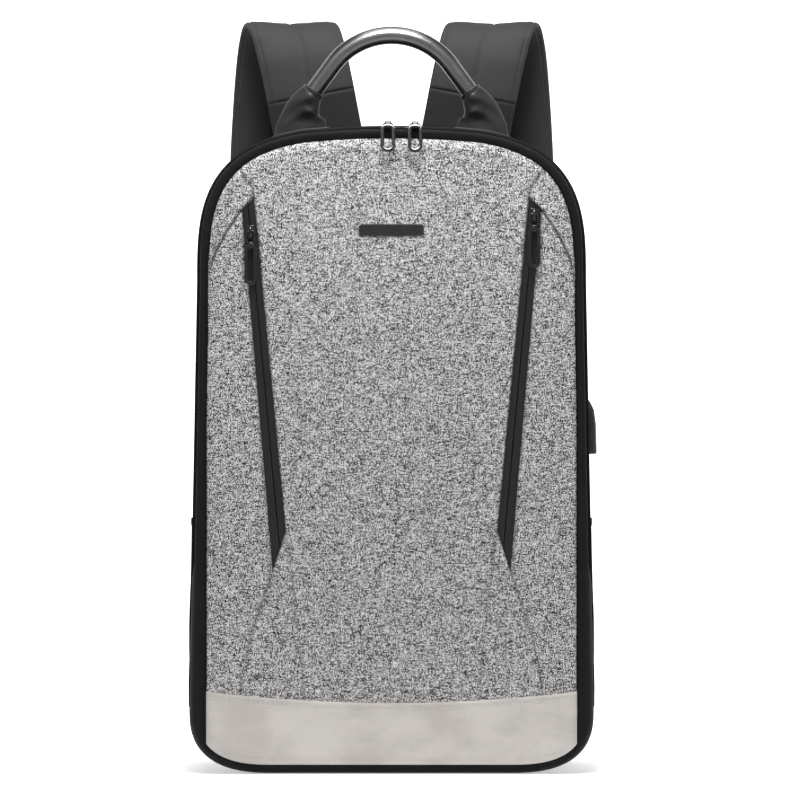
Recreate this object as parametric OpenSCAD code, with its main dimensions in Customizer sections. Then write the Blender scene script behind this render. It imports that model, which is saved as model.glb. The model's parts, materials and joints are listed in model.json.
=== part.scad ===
// Slim laptop backpack with a hard handle, two shoulder straps and a charging port.
// The origin is the centre of the flat base, +Z is up and the front faces -Y.

/* [Bag] */
// Height of the bag without its handle and straps
bag_h = 460.5; // [400:0.5:560]
// Half of the greatest width, near the base
bag_half_w = 144; // [120:0.5:175]
// Depth of the bag from its front panel to its back panel
bag_d = 130; // [105:1:160]
// Half of the width at the height where the shoulders begin
shoulder_half_w = 138.3; // [115:0.1:168]
// Height of the rounded shoulders
shoulder_h = 110.5; // [80:0.5:140]
// Squareness of the rounded shoulders
shoulder_power = 3.15; // [2:0.05:5]
// Radius of the arched crown
crown_r = 661; // [500:1:900]
// Half of the length of the arched crown
crown_half = 64; // [50:1:80]
// Half of the flat part of the base
base_flat = 84; // [60:1:110]
// Height of the rounded lower corners
base_corner_h = 45; // [30:1:60]
// Squareness of the rounded lower corners
base_power = 2.6; // [2:0.05:4]

/* [Shell] */
// Thickness of the front panels
front_t = 3; // [2:0.5:5]
// Thickness of the padded back panel
back_t = 8; // [5:0.5:12]
// Thickness of the side and top gussets
gusset_t = 2.5; // [1.5:0.1:4]
// How far the front panel's edge lies inside the bag's outline at the top
panel_inset_top = 9; // [6:0.5:12]
// How far the front panel's edge lies inside the bag's outline at the base
panel_inset_base = 7; // [5:0.5:12]
// Greatest half-width of the front panel
panel_half_w = 131.5; // [105:0.5:165]
// Height of the line that the front cover folds along
fold_z = 138; // [110:1:160]
// Gap between the front cover and the fixed front, at the fold
fold_gap = 0.6; // [0.4:0.1:2]
// Clearance between sewn pieces that lie beside each other
seam_gap = 0.3; // [0.2:0.05:0.6]
// Height of the leather trim at its middle
trim_h = 51; // [40:1:70]
// How much higher the leather trim is at its ends
trim_rise = 8; // [0:1:20]
// Thickness of the leather trim
trim_t = 1.2; // [0.8:0.1:2]

/* [Main zip] */
// Distance of the zip's middle behind the front panel's face
zip_back = 10; // [8:0.5:16]
// Half of the width of the channel that the zip lies in
zip_half = 5; // [4.5:0.5:8]
// Depth of the zip's tape under the bag's outline
tape_depth = 2.8; // [2:0.1:4]
// Thickness of the zip tapes
tape_t = 0.8; // [0.5:0.1:1.2]
// Thickness of the coils
coil_t = 1.4; // [1:0.1:2]
// Width of one coil
coil_w = 1.3; // [1:0.1:2]
// Half of the gap between the two coils
lane_half = 0.7; // [0.6:0.05:1]
// Height where the zip ends above the fold
zip_end_rise = 7; // [4:1:20]
// Length of a main slider
main_slider_l = 13; // [10:0.5:16]
// Width of a main slider
main_slider_w = 8.4; // [6:0.2:9]
// Place of the line where the two closed sliders meet
meet_x = 7; // [0:0.5:15]
// Length of a main pull
main_pull_l = 29; // [24:1:34]
// Width of a main pull's ring
main_pull_w = 10.4; // [8:0.2:12]

/* [Front pockets] */
// Height of a pocket zip's top corner
slot_top_z = 409; // [380:1:425]
// Distance of that corner from the middle
slot_top_x = 97.5; // [85:0.5:105]
// Height of the outer top corner
slot_outer_z = 401; // [370:1:415]
// Width of the slot at the top
slot_w_top = 8.5; // [7.5:0.5:12]
// Height of the slot's tip
slot_tip_z = 144.5; // [142:0.5:170]
// Distance of the tip from the middle
slot_tip_x = 84.3; // [70:0.1:95]
// Height of the inner lower corner
slot_inner_z = 173; // [165:1:200]
// Distance of the inner lower corner from the middle
slot_inner_x = 75; // [60:0.5:82]
// Height of the left slider
left_slider_z = 385; // [360:1:388]
// Height of the right slider
right_slider_z = 397; // [370:1:399]
// Length of a pocket slider
pocket_slider_l = 9.7; // [8:0.1:12]
// Width of a pocket slider
pocket_slider_w = 7.6; // [6:0.1:8]
// Length of a pocket pull
pocket_pull_l = 37.5; // [30:0.5:45]
// Width of a pocket pull's ring
pocket_pull_w = 8.8; // [7:0.1:10]
// Depth of the front pockets
pocket_depth = 10; // [6:0.5:14]
// Width of the blank badge plate
badge_w = 46; // [30:1:60]
// Height of the blank badge plate
badge_h = 8.5; // [6:0.5:14]
// Height of the badge plate's middle
badge_z = 386.5; // [360:0.5:410]

/* [Side pockets and port] */
// Height of the side pockets' mouths
side_pocket_top = 178; // [140:1:200]
// Depth of the side pockets
side_pocket_depth = 9; // [7:0.5:14]
// Thickness of the side pockets' fabric
side_pocket_t = 1.6; // [1:0.1:3]
// Height of the charging port's lower edge
port_z = 226.5; // [205:0.5:260]
// Height of the charging port
port_h = 39.5; // [30:0.5:50]
// Width of the charging port
port_w = 22; // [18:0.5:30]
// How far the charging port stands out
port_out = 6; // [4.5:0.1:9]
// Place of the port's middle from front to back
port_y = -20; // [-30:1:20]

/* [Handle] */
// Diameter of the handle tube
tube_d = 12.7; // [10:0.1:16]
// Wall of the handle tube
tube_wall = 1.5; // [1:0.1:2.5]
// Radius of the handle's arch, to the tube's centre
arch_r = 52.6; // [45:0.1:60]
// Height of the arch's centre line above the crown of the bag
arch_rise = 65; // [55:0.5:80]
// Half of the angle of the arch
arch_half_angle = 53.7; // [45:0.1:62]
// Length of the straight leg at each end of the tube
leg_l = 33; // [26:0.5:40]
// Length of the leg that shows above its tab
leg_bare = 22; // [15:0.5:25]
// Place of the handle from front to back
handle_y = -12; // [-20:1:0]
// Distance of a tab's middle from the middle of the bag
tab_x = 65; // [60:0.5:70]
// Width of a tab's base
tab_base_w = 38; // [30:1:46]
// Radius of a tab's folded lower edge
tab_fold_r = 3; // [2.5:0.1:4]
// Wall of the tab round the tube
tab_wall = 2.2; // [1.5:0.1:4]
// Thickness of the patch under a tab
patch_t = 1; // [0.6:0.1:2]

/* [Laptop sleeve and back] */
// Thickness of the padded divider
divider_t = 6; // [4:0.5:9]
// Width of the laptop sleeve, from the divider to the back panel
sleeve_d = 27; // [20:1:35]
// Half of the divider's width
divider_half_w = 118; // [95:1:125]
// Height of the divider's top
divider_top = 330; // [280:1:360]
// Thickness of the back pads
pad_t = 7.5; // [5:0.5:12]
// Height of the back pads' lower edge
pad_low = 60; // [40:1:90]
// Height of the back pads' upper edge
pad_high = 400; // [340:1:405]

/* [Shoulder straps] */
// Width of a shoulder pad
strap_w = 64; // [50:1:68]
// Thickness of a shoulder pad
strap_t = 9; // [6:0.5:10]
// Width of the lower webbing
web_w = 25; // [20:1:30]
// Thickness of the webbing
web_t = 1.6; // [1.2:0.1:2.5]

/* [Hidden] */

$fn = 48;
front_y = -bag_d / 2;
back_y = bag_d / 2;
panel_back_y = front_y + front_t;
zip_y = front_y + zip_back;
channel_front = zip_y - zip_half;
channel_back = zip_y + zip_half;
gusset_back = back_y - back_t;
shoulder_z = bag_h - shoulder_h;
crown_centre_z = bag_h - crown_r;
flange_t = 2;
zip_end_z = fold_z + zip_end_rise;
corner_top_z = 60;
side_pocket_floor = base_corner_h + 3;
side_steps = 3;
shoulder_steps = 13;
crown_steps = 5;
corner_steps = 9;

// ---- outlines of the bag, seen from the front ----

// Half-width of the straight side at a height
function side_x(z) = bag_half_w + (shoulder_half_w - bag_half_w)
    * max(0, min(1, (z - corner_top_z) / (shoulder_z - corner_top_z)));
// Height of the arched crown at a distance from the middle
function crown_z(x) = crown_centre_z + sqrt(crown_r * crown_r - x * x);
// Half-width of the rounded shoulder at a height
function shoulder_x(z) = shoulder_half_w
    * pow(1 - pow((z - shoulder_z) / shoulder_h, shoulder_power), 1 / shoulder_power);
// Height of the rounded shoulder at a distance from the middle
function shoulder_height(x) = shoulder_z
    + shoulder_h * pow(1 - pow(x / shoulder_half_w, shoulder_power), 1 / shoulder_power);
// Angle at which the shoulder's curve reaches the crown
shoulder_end = acos(pow(crown_half / shoulder_half_w, shoulder_power / 2));

// Right half of the outline above a height on the straight side, up to the crown's middle
function upper_right(z_end) = concat(
    [for (k = [0:side_steps - 1])
        let (z = z_end + (shoulder_z - z_end) * k / side_steps) [side_x(z), z]],
    [for (k = [0:shoulder_steps - 1])
        let (a = shoulder_end * k / shoulder_steps)
        [shoulder_half_w * pow(cos(a), 2 / shoulder_power),
         shoulder_z + shoulder_h * pow(sin(a), 2 / shoulder_power)]],
    [for (k = [0:crown_steps - 1])
        let (x = crown_half * (1 - k / crown_steps)) [x, crown_z(x)]]
);
function flip(points) = [for (k = [len(points) - 1:-1:0]) [-points[k][0], points[k][1]]];
function backwards(points) = [for (k = [len(points) - 1:-1:0]) points[k]];
// Outline from the right side at z_end over the crown to the left side
function upper_path(z_end) = concat(upper_right(z_end), [[0, bag_h]], flip(upper_right(z_end)));

// Right half of the outline from the middle of the base up to a height on the side
function lower_right(z_end) = concat(
    [for (k = [0:corner_steps])
        let (a = 90 * (1 - k / corner_steps))
        [base_flat + (bag_half_w - base_flat) * pow(cos(a), 2 / base_power),
         base_corner_h * (1 - pow(sin(a), 2 / base_power))]],
    z_end > corner_top_z ? [[bag_half_w, corner_top_z], [side_x(z_end), z_end]]
        : [[bag_half_w, z_end]]
);
// Outline from the left side at z_end round the base to the right side
function lower_path(z_end) = concat(flip(lower_right(z_end)), lower_right(z_end));

// Unit normal, pointing out of the bag, at one point of a path that runs anticlockwise
function outward(points, k) =
    let (a = points[max(0, k - 1)], b = points[min(len(points) - 1, k + 1)], d = b - a)
    [d[1], -d[0]] / norm(d);
// The path moved towards the inside of the bag
function inset(points, distance) =
    [for (k = [0:len(points) - 1]) points[k] - distance * outward(points, k)];
function clamp_x(points, limit) = [for (p = points) [max(-limit, min(limit, p[0])), p[1]]];
// Edge of the front panel, above and below the fold, moved inwards by extra
function panel_upper(z_end, extra) =
    clamp_x(inset(upper_path(z_end), panel_inset_top + extra), panel_half_w - extra);
function panel_lower(z_end, extra) =
    clamp_x(inset(lower_path(z_end), panel_inset_base + extra), panel_half_w - extra);

// ---- shapes that repeat ----

// A flat outline in X and Z, given thickness from y0 to y1
module plate(y0, y1) {
    translate([0, y1, 0]) rotate([90, 0, 0]) linear_extrude(height = y1 - y0) children();
}
// A strip of wall between two insets of a path
module wall(points, out, in, y0, y1) {
    plate(y0, y1) polygon(concat(inset(points, out), backwards(inset(points, in))));
}
// Four long edges joined into one closed strip: edges is a list of [path, y]
module strip(edges) {
    n = len(edges[0][0]);
    m = len(edges);
    verts = [for (e = edges) for (p = e[0]) [p[0], e[1], p[1]]];
    sides = [for (j = [0:m - 1]) for (k = [0:n - 2])
        let (j2 = (j + 1) % m)
        [j * n + k, j * n + k + 1, j2 * n + k + 1, j2 * n + k]];
    start = [for (j = [0:m - 1]) j * n];
    end = [for (j = [m - 1:-1:0]) j * n + n - 1];
    polyhedron(verts, concat(sides, [start], [end]), convexity = 8);
}
// A box given by its two corners
module box(low, high) {
    translate(low) cube(high - low);
}
// A flat plate in X and Z with round corners, from y0 to y1
module rounded_plate(x0, x1, z0, z1, r, y0, y1) {
    plate(y0, y1) union() {
        translate([x0 + r, z0]) square([x1 - x0 - 2 * r, z1 - z0]);
        translate([x0, z0 + r]) square([x1 - x0, z1 - z0 - 2 * r]);
        for (x = [x0 + r, x1 - r], z = [z0 + r, z1 - r]) translate([x, z]) circle(r = r);
    }
}
// The right-hand piece as drawn, or its mirror image on the left
module on_side(side) {
    if (side > 0) children();
    else mirror([1, 0, 0]) children();
}

// ---- the bag's own panels ----

module back_panel() {
    color([0.07, 0.07, 0.075])
    plate(gusset_back + seam_gap, back_y)
        polygon(concat(lower_path(corner_top_z + 1), upper_path(corner_top_z + 30)));
}
module top_gusset() {
    color([0.09, 0.09, 0.095])
    wall(upper_path(shoulder_z - 1), 0, gusset_t, channel_back, gusset_back);
}
// Side wall of the right-hand side: set in behind the side pocket, with a flange at each end
module side_gusset_right_half() {
    low = side_pocket_floor;
    high = shoulder_z - 1 - seam_gap;
    recess_top = side_pocket_top + 3;
    recess_end = side_pocket_top + 45;
    outer = [[side_x(low), low - 2], [side_x(low), low],
             [side_x(low) - side_pocket_depth, low],
             [side_x(recess_top) - side_pocket_depth, recess_top],
             [side_x(recess_end), recess_end], [side_x(high), high]];
    inner = [[side_x(high) - gusset_t, high], [side_x(recess_end) - gusset_t, recess_end],
             [side_x(recess_top) - side_pocket_depth - gusset_t, recess_top],
             [side_x(low) - side_pocket_depth - gusset_t, low - 2]];
    flange = [[side_x(low), low], [side_x(recess_top), recess_top],
              [side_x(recess_end), recess_end],
              [side_x(recess_top) - side_pocket_depth, recess_top],
              [side_x(low) - side_pocket_depth, low]];
    plate(channel_back, gusset_back) polygon(concat(outer, inner));
    for (y = [channel_back, gusset_back - flange_t]) plate(y, y + flange_t) polygon(flange);
}
module side_gusset(side) {
    color([0.09, 0.09, 0.095])
    difference() {
        on_side(side) side_gusset_right_half();
        if (side > 0) {
            box([side_x(port_z) - 12, port_y - port_w / 2 - seam_gap, port_z - seam_gap],
                [side_x(port_z) + 12, port_y + port_w / 2 + seam_gap,
                 port_z + port_h + seam_gap]);
        }
    }
}
module base_panel() {
    color([0.08, 0.08, 0.085])
    wall(lower_path(side_pocket_floor - 2 - seam_gap), 0, gusset_t, channel_back, gusset_back);
}
module front_lower_panel() {
    color([0.58, 0.57, 0.57])
    plate(front_y, panel_back_y) polygon(panel_lower(fold_z - fold_gap, 0));
}
module front_lower_wall() {
    path = lower_path(fold_z - fold_gap);
    color([0.08, 0.08, 0.085])
    strip([[panel_lower(fold_z - fold_gap, -seam_gap), front_y],
           [inset(path, 0), channel_back - seam_gap],
           [inset(path, gusset_t), channel_back - seam_gap],
           [panel_lower(fold_z - fold_gap, -seam_gap), panel_back_y]]);
}
module leather_trim() {
    edge_z = trim_h + trim_rise;
    top = [for (k = [0:16]) let (u = 1 - k / 8)
        [panel_half_w * u, trim_h + trim_rise * u * u]];
    color([0.73, 0.72, 0.70])
    plate(front_y - trim_t, front_y)
        polygon(concat(panel_lower(edge_z, 0), top));
}

// ---- the front cover ----

// Corners of the right-hand pocket zip's slot
slot_points = [[slot_top_x, slot_top_z], [slot_inner_x, slot_inner_z],
               [slot_tip_x, slot_tip_z], [slot_top_x + slot_w_top, slot_outer_z]];
// Middle of the slot near its top and near its foot, and the slant of its centre line
slot_mid_top = [slot_top_x + slot_w_top / 2, (slot_top_z + slot_outer_z) / 2];
slot_mid_low = [(slot_inner_x + slot_tip_x) / 2 + 0.8, slot_inner_z];
slot_slant = atan((slot_mid_top[0] - slot_mid_low[0]) / (slot_mid_top[1] - slot_mid_low[1]));
function slot_x(z) = slot_mid_low[0] + (z - slot_mid_low[1]) * tan(slot_slant);

module front_cover_panel() {
    color([0.70, 0.69, 0.69])
    difference() {
        plate(front_y, panel_back_y) polygon(panel_upper(fold_z + fold_gap, 0));
        for (side = [-1, 1]) on_side(side) plate(front_y - 1, panel_back_y + 1)
            polygon(slot_points);
    }
}
module front_cover_wall() {
    path = upper_path(fold_z + fold_gap);
    color([0.08, 0.08, 0.085])
    strip([[panel_upper(fold_z + fold_gap, -seam_gap), front_y],
           [inset(path, tape_depth - 0.6), channel_front],
           [inset(path, tape_depth + tape_t + 0.6), channel_front],
           [panel_upper(fold_z + fold_gap, -seam_gap), panel_back_y]]);
}
// Lining of the two front pockets: a flat sheet, its rim and the seam between the pockets
lining_t = 1;
rib_t = 1.2;
lining_y = panel_back_y + pocket_depth;
lining_floor_z = fold_z + 5;
function lining_edge(extra) = panel_upper(fold_z + fold_gap + 4, 10 + extra);
module pocket_lining() {
    color([0.20, 0.20, 0.21])
    plate(lining_y, lining_y + lining_t) polygon(lining_edge(0));
}
module pocket_rim() {
    color([0.20, 0.20, 0.21])
    plate(panel_back_y, lining_y)
        polygon(concat(lining_edge(0), backwards(lining_edge(rib_t))));
}
module pocket_seam() {
    floor_half = panel_half_w - 14;
    color([0.20, 0.20, 0.21]) {
        box([-rib_t / 2, panel_back_y, lining_floor_z], [rib_t / 2, lining_y, bag_h - 24]);
        box([-floor_half, panel_back_y, lining_floor_z],
            [floor_half, lining_y, lining_floor_z + rib_t]);
    }
}
module badge_plate() {
    color([0.05, 0.05, 0.05])
    rounded_plate(-badge_w / 2, badge_w / 2, badge_z - badge_h / 2, badge_z + badge_h / 2,
                  2, front_y - 1.2, front_y);
}

// ---- the main zip ----

tape_in = tape_depth + tape_t;
coil_in = tape_in + coil_t;

module main_tape(y0, y1) {
    color([0.06, 0.06, 0.065])
    wall(upper_path(zip_end_z), tape_depth, tape_in, y0, y1);
}
module main_coil(y0, y1) {
    color([0.04, 0.04, 0.045])
    wall(upper_path(zip_end_z), tape_in, coil_in, y0, y1);
}
module main_zip_tape_rear() {
    main_tape(zip_y + lane_half, channel_back - seam_gap);
}
module main_zip_tape_front() {
    main_tape(channel_front + seam_gap, zip_y - lane_half);
}
module main_zip_coil_rear() {
    main_coil(zip_y + lane_half, zip_y + lane_half + coil_w);
}
module main_zip_coil_front() {
    main_coil(zip_y - lane_half - coil_w, zip_y - lane_half);
}

// Sizes shared by the sliders: plate, pull bar and bridge
plate_t = 1.8;
slide_clear = 0.35;
post_half = lane_half - 0.3;
bar_r = 0.8;
knuckle_clear = 0.25;
knuckle_r = bar_r + knuckle_clear + 1;
// Height of the pull bar above the tape's outer face on a main slider
main_bar_z = slide_clear + plate_t + knuckle_r + 0.4;
main_bar_x = main_slider_l / 2 - 3.6;
// Angle of a main slider from the middle, seen from the crown's centre
main_track_r = crown_r - tape_depth;
function main_angle(x) = asin(x / main_track_r);
main_slider_x = main_slider_l / 2 + 0.2;

// Places a piece drawn round the middle of the crown on its place along the crown
module on_crown(x) {
    translate([0, zip_y, crown_centre_z]) rotate([0, main_angle(x), 0])
        translate([0, 0, main_track_r]) children();
}
// A main slider whose nose points to +X, on a tape whose outer face is z = 0
module main_slider() {
    under = -(tape_t + coil_t + slide_clear);
    color([0.03, 0.03, 0.032]) {
        difference() {
            translate([0, 0, slide_clear]) linear_extrude(height = plate_t)
                polygon([[-main_slider_l / 2, -main_slider_w * 0.36],
                         [-main_slider_l / 2 + 1.5, -main_slider_w * 0.42],
                         [main_slider_l * 0.15, -main_slider_w / 2],
                         [main_slider_l / 2, -main_slider_w * 0.3],
                         [main_slider_l / 2, main_slider_w * 0.3],
                         [main_slider_l * 0.15, main_slider_w / 2],
                         [-main_slider_l / 2 + 1.5, main_slider_w * 0.42],
                         [-main_slider_l / 2, main_slider_w * 0.36]]);
            translate([main_slider_l * 0.3, 0, slide_clear + plate_t - 0.4])
                cylinder(h = 1, r = 1.1);
        }
        box([-2, -post_half, under - 1], [2, post_half, slide_clear]);
        box([-main_slider_l / 2 + 1, -post_half, under - 1],
            [main_slider_l / 2 - 1, lane_half + coil_w + 0.3, under]);
        translate([-main_bar_x, 0, main_bar_z]) rotate([0, 90, 0])
            cylinder(h = 7.6, r = bar_r, center = true);
        for (x = [-3.8, 3.8]) translate([x - main_bar_x, 0, slide_clear + 0.5])
            cylinder(h = main_bar_z - slide_clear - 0.5 + bar_r, r = bar_r);
    }
}
// Closed ring of a pull, seen flat: an oval with a slot
module ring_outline(length, width, slot_w) {
    difference() {
        union() {
            translate([-length + width / 2, -width / 2]) square([length - width / 2 - 2, width]);
            translate([-length + width / 2, 0]) circle(d = width);
            translate([-2, -width / 2 + 2]) square([2, width - 4]);
            for (y = [-width / 2 + 2, width / 2 - 2]) translate([-2, y]) circle(r = 2);
        }
        translate([-length + width / 2, -slot_w / 2]) square([length - width / 2 - 3, slot_w]);
        translate([-length + width / 2, 0]) circle(d = slot_w);
    }
}
// Slopes of a resting main pull: its neck clears the cover's edge and its ring hangs in front
neck_drop = 14;
ring_drop = 68;
neck_l = 9;
// A main pull that turns on an X axis at the origin and hangs towards -Y and -Z
module main_pull() {
    color([0.03, 0.03, 0.032])
    difference() {
        union() {
            rotate([0, 90, 0]) cylinder(h = 4.6, r = knuckle_r, center = true);
            rotate([neck_drop, 0, 0]) box([-2.3, -neck_l, -0.9], [2.3, 0, 0.9]);
            translate([0, -neck_l * cos(neck_drop), -neck_l * sin(neck_drop)])
                rotate([ring_drop, 0, 0]) translate([0, 0.8, -0.9]) linear_extrude(height = 1.8)
                rotate(90) ring_outline(main_pull_l - neck_l, main_pull_w, main_pull_w - 5.2);
        }
        rotate([0, 90, 0]) cylinder(h = 6, r = bar_r + knuckle_clear, center = true);
    }
}
module main_slider_at(side) {
    on_crown(meet_x + side * main_slider_x) on_side(-side) main_slider();
}
module main_pull_at(side) {
    on_crown(meet_x + side * main_slider_x)
        translate([side * main_bar_x, 0, main_bar_z]) main_pull();
}

// ---- the pocket zips ----

pocket_tape_y = front_y + 0.3;
pocket_coil_y = pocket_tape_y + tape_t;
// Frame along the right-hand slot: +X across the zip and +Z up its centre line
module on_slot(z) {
    translate([slot_x(z), 0, z]) rotate([0, slot_slant, 0]) children();
}
module pocket_tape(side) {
    margin = 0.25;
    color([0.06, 0.06, 0.065])
    on_side(side) difference() {
        plate(pocket_tape_y, pocket_coil_y) polygon(inset_slot(margin));
        on_slot(slot_inner_z) box([-lane_half, front_y - 2, -60], [lane_half, 0, 400]);
    }
}
// The slot's outline made smaller on its two long sides
function inset_slot(margin) = [[slot_points[0][0] + margin, slot_points[0][1] - 2 * margin],
    [slot_points[1][0] + margin, slot_points[1][1]],
    [slot_points[2][0] - margin / 2, slot_points[2][1] + 3 * margin],
    [slot_points[3][0] - margin, slot_points[3][1] - margin]];
module pocket_coil(side) {
    color([0.04, 0.04, 0.045])
    on_side(side) on_slot(slot_inner_z) for (x = [-lane_half - coil_w, lane_half])
        box([x, pocket_coil_y, -6],
            [x + coil_w, pocket_coil_y + coil_t, slot_outer_z - slot_inner_z - 1]);
}
// Pull bar of a pocket slider, in front of the tape's outer face
pocket_bar_y = pocket_tape_y - slide_clear - plate_t - bar_r - 0.2;
// A pocket slider drawn round its own middle, with the tape in the plane of the panel
module pocket_slider(side, z) {
    half = pocket_slider_l / 2;
    plate_y = pocket_tape_y - slide_clear - plate_t;
    under_y = pocket_coil_y + coil_t + slide_clear;
    bridge_y = pocket_bar_y - bar_r - 0.2;
    color([0.03, 0.03, 0.032])
    on_side(side) on_slot(z) {
        plate(plate_y, plate_y + plate_t)
            polygon([[-pocket_slider_w * 0.36, -half], [pocket_slider_w * 0.36, -half],
                     [pocket_slider_w / 2, half * 0.3], [pocket_slider_w * 0.3, half],
                     [-pocket_slider_w * 0.3, half], [-pocket_slider_w / 2, half * 0.3]]);
        box([-post_half, plate_y + plate_t, -1.5], [post_half, under_y + 0.9, 1.5]);
        box([-lane_half - coil_w, under_y, -half + 1], [lane_half + coil_w, under_y + 0.9, half - 1]);
        box([-0.8, bridge_y - 1, -4], [0.8, bridge_y, 4]);
        for (s = [-4, 3]) box([-0.8, bridge_y, s], [0.8, plate_y, s + 1]);
    }
}
// A pocket pull: its bar is captive under the slider's bridge and it hangs straight down
module pocket_pull(side, z) {
    pull_t = 1.6;
    window_l = 7.5;
    ring_l = pocket_pull_l - window_l - 8;
    color([0.03, 0.03, 0.032])
    on_side(side) translate([slot_x(z), pocket_bar_y, z]) {
        rotate([0, 90, 0]) cylinder(h = 7.2, r = bar_r, center = true);
        plate(-pull_t / 2, pull_t / 2) difference() {
            union() {
                translate([-3.6, -window_l - 1.6]) square([7.2, window_l + 1.6]);
                translate([-2.35, -window_l - 8]) square([4.7, 8]);
                translate([0, -window_l - 6]) rotate(90)
                    ring_outline(ring_l + 2, pocket_pull_w, 3.8);
            }
            translate([-1.9, -window_l]) square([3.8, window_l - 0.5]);
        }
    }
}

// ---- side pockets and the charging port ----

function side_path(z0, z1) = [for (k = [0:4]) let (z = z0 + (z1 - z0) * k / 4) [side_x(z), z]];
module side_pocket(side) {
    color([0.07, 0.07, 0.075])
    on_side(side) wall(side_path(side_pocket_floor + seam_gap, side_pocket_top),
        -seam_gap - side_pocket_t, -seam_gap, channel_back, gusset_back);
}
module pocket_binding(side) {
    color([0.05, 0.05, 0.055])
    on_side(side) wall(side_path(side_pocket_top + 0.1, side_pocket_top + 4),
        -seam_gap - side_pocket_t - 0.3, -seam_gap + 0.2, channel_back, gusset_back);
}
port_face_x = side_x(port_z) + port_out;
port_root_x = side_x(port_z) - 4.5;
socket_wall = 0.4;
socket_x = 5.8;
socket_w = 13.2;
socket_mid_x = port_face_x - 1.6 - socket_x / 2;
socket_recess = 4.8;
socket_l = 14;
module port_housing() {
    color([0.05, 0.05, 0.055])
    difference() {
        plate(port_y - port_w / 2, port_y + port_w / 2)
            polygon([[port_root_x, port_z], [port_face_x, port_z],
                     [port_face_x - 0.6, port_z + port_h * 0.55],
                     [port_face_x - 1.8, port_z + port_h * 0.8],
                     [port_face_x - port_out, port_z + port_h], [port_root_x, port_z + port_h]]);
        box([socket_mid_x - socket_x / 2 - 0.1, port_y - socket_w / 2 - 0.1, port_z - 1],
            [socket_mid_x + socket_x / 2 + 0.1, port_y + socket_w / 2 + 0.1,
             port_z + socket_recess + socket_l]);
    }
}
module port_socket() {
    z0 = port_z + socket_recess;
    color([0.75, 0.75, 0.76])
    difference() {
        box([socket_mid_x - socket_x / 2, port_y - socket_w / 2, z0],
            [socket_mid_x + socket_x / 2, port_y + socket_w / 2, z0 + socket_l]);
        box([socket_mid_x - socket_x / 2 + socket_wall, port_y - socket_w / 2 + socket_wall, z0 - 1],
            [socket_mid_x + socket_x / 2 - socket_wall, port_y + socket_w / 2 - socket_wall,
             z0 + socket_l - 2]);
    }
}
module port_tongue() {
    z0 = port_z + socket_recess;
    color([0.92, 0.92, 0.90])
    box([socket_mid_x - 2, port_y - 5.5, z0 + 1.5],
        [socket_mid_x - 0.2, port_y + 5.5, z0 + socket_l - 2]);
}

// ---- handle ----

arch_top_z = bag_h + arch_rise;
arch_centre_z = arch_top_z - arch_r;
leg_start = [arch_r * sin(arch_half_angle), arch_centre_z + arch_r * cos(arch_half_angle)];
leg_dir = [cos(arch_half_angle), -sin(arch_half_angle)];
patch_in_x = tab_x - tab_base_w / 2;
tab_axis_z = crown_z(patch_in_x) + patch_t + seam_gap + tab_fold_r;
mouth_point = leg_start + leg_bare * leg_dir;
module handle_tube() {
    color([0.72, 0.72, 0.73])
    translate([0, handle_y, arch_centre_z]) rotate([90, 0, 0]) rotate(90 - arch_half_angle)
        difference() {
            tube_run(tube_d, 0);
            tube_run(tube_d - 2 * tube_wall, 1);
        }
}
// A rod bent as the handle is: the arch and both legs, drawn flat round the arch's centre
module tube_run(d, over) {
    rotate_extrude(angle = 2 * arch_half_angle) translate([arch_r, 0]) circle(d = d);
    translate([arch_r, 0, 0]) rotate([90, 0, 0]) cylinder(h = leg_l + over, d = d);
    rotate(2 * arch_half_angle) translate([arch_r, 0, 0]) rotate([-90, 0, 0])
        cylinder(h = leg_l + over, d = d);
}
// A rod along the right-hand leg of the handle
module leg(d, length) {
    translate([leg_start[0], handle_y, leg_start[1]]) rotate([0, 90 + arch_half_angle, 0])
        cylinder(h = length, d = d);
}
module handle_tab(side) {
    mouth_r = tube_d / 2 + tab_wall;
    color([0.06, 0.06, 0.065])
    on_side(side) difference() {
        hull() {
            translate([mouth_point[0], handle_y, mouth_point[1]])
                rotate([0, 90 + arch_half_angle, 0]) cylinder(h = 7, r = mouth_r, $fn = 32);
            translate([tab_x, handle_y, tab_axis_z]) rotate([0, 90, 0])
                cylinder(h = tab_base_w, r = tab_fold_r, center = true, $fn = 32);
        }
        leg(tube_d + 0.4, leg_l + 0.2);
    }
}
module handle_patch(side) {
    top_z = tab_axis_z - tab_fold_r - seam_gap;
    patch_out_x = tab_x + tab_base_w / 2;
    steps = 8;
    surface = [for (k = [0:steps])
        let (x = patch_in_x + (patch_out_x - patch_in_x) * k / steps)
        [x, (x < crown_half ? crown_z(x) : shoulder_height(x)) + 0.15]];
    color([0.06, 0.06, 0.065])
    on_side(side) plate(handle_y - 11, handle_y + 11)
        polygon(concat(surface, [[patch_out_x, top_z], [patch_in_x, top_z]]));
}

// ---- laptop sleeve and back ----

divider_y = gusset_back - sleeve_d - divider_t;
module laptop_divider() {
    color([0.14, 0.14, 0.15])
    plate(divider_y, divider_y + divider_t)
        polygon(concat(clamp_x(inset(lower_path(corner_top_z), gusset_t + seam_gap), divider_half_w),
                       [[divider_half_w, divider_top - 10], [divider_half_w - 10, divider_top],
                        [10 - divider_half_w, divider_top], [-divider_half_w, divider_top - 10]]));
}
module laptop_hold_strap() {
    strap_half = 19;
    t = 1.6;
    top_z = divider_top + seam_gap;
    color([0.10, 0.10, 0.11]) {
        box([-strap_half, divider_y - seam_gap - t, top_z],
            [strap_half, gusset_back, top_z + t]);
        box([-strap_half, divider_y - seam_gap - t, top_z - 42],
            [strap_half, divider_y - seam_gap, top_z]);
    }
}
module back_pad(side) {
    color([0.10, 0.10, 0.105])
    on_side(side) rounded_plate(12, pad_out_x, pad_low, pad_high, 22,
                                back_y + seam_gap, back_y + seam_gap + pad_t);
}

// ---- shoulder straps ----

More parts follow.
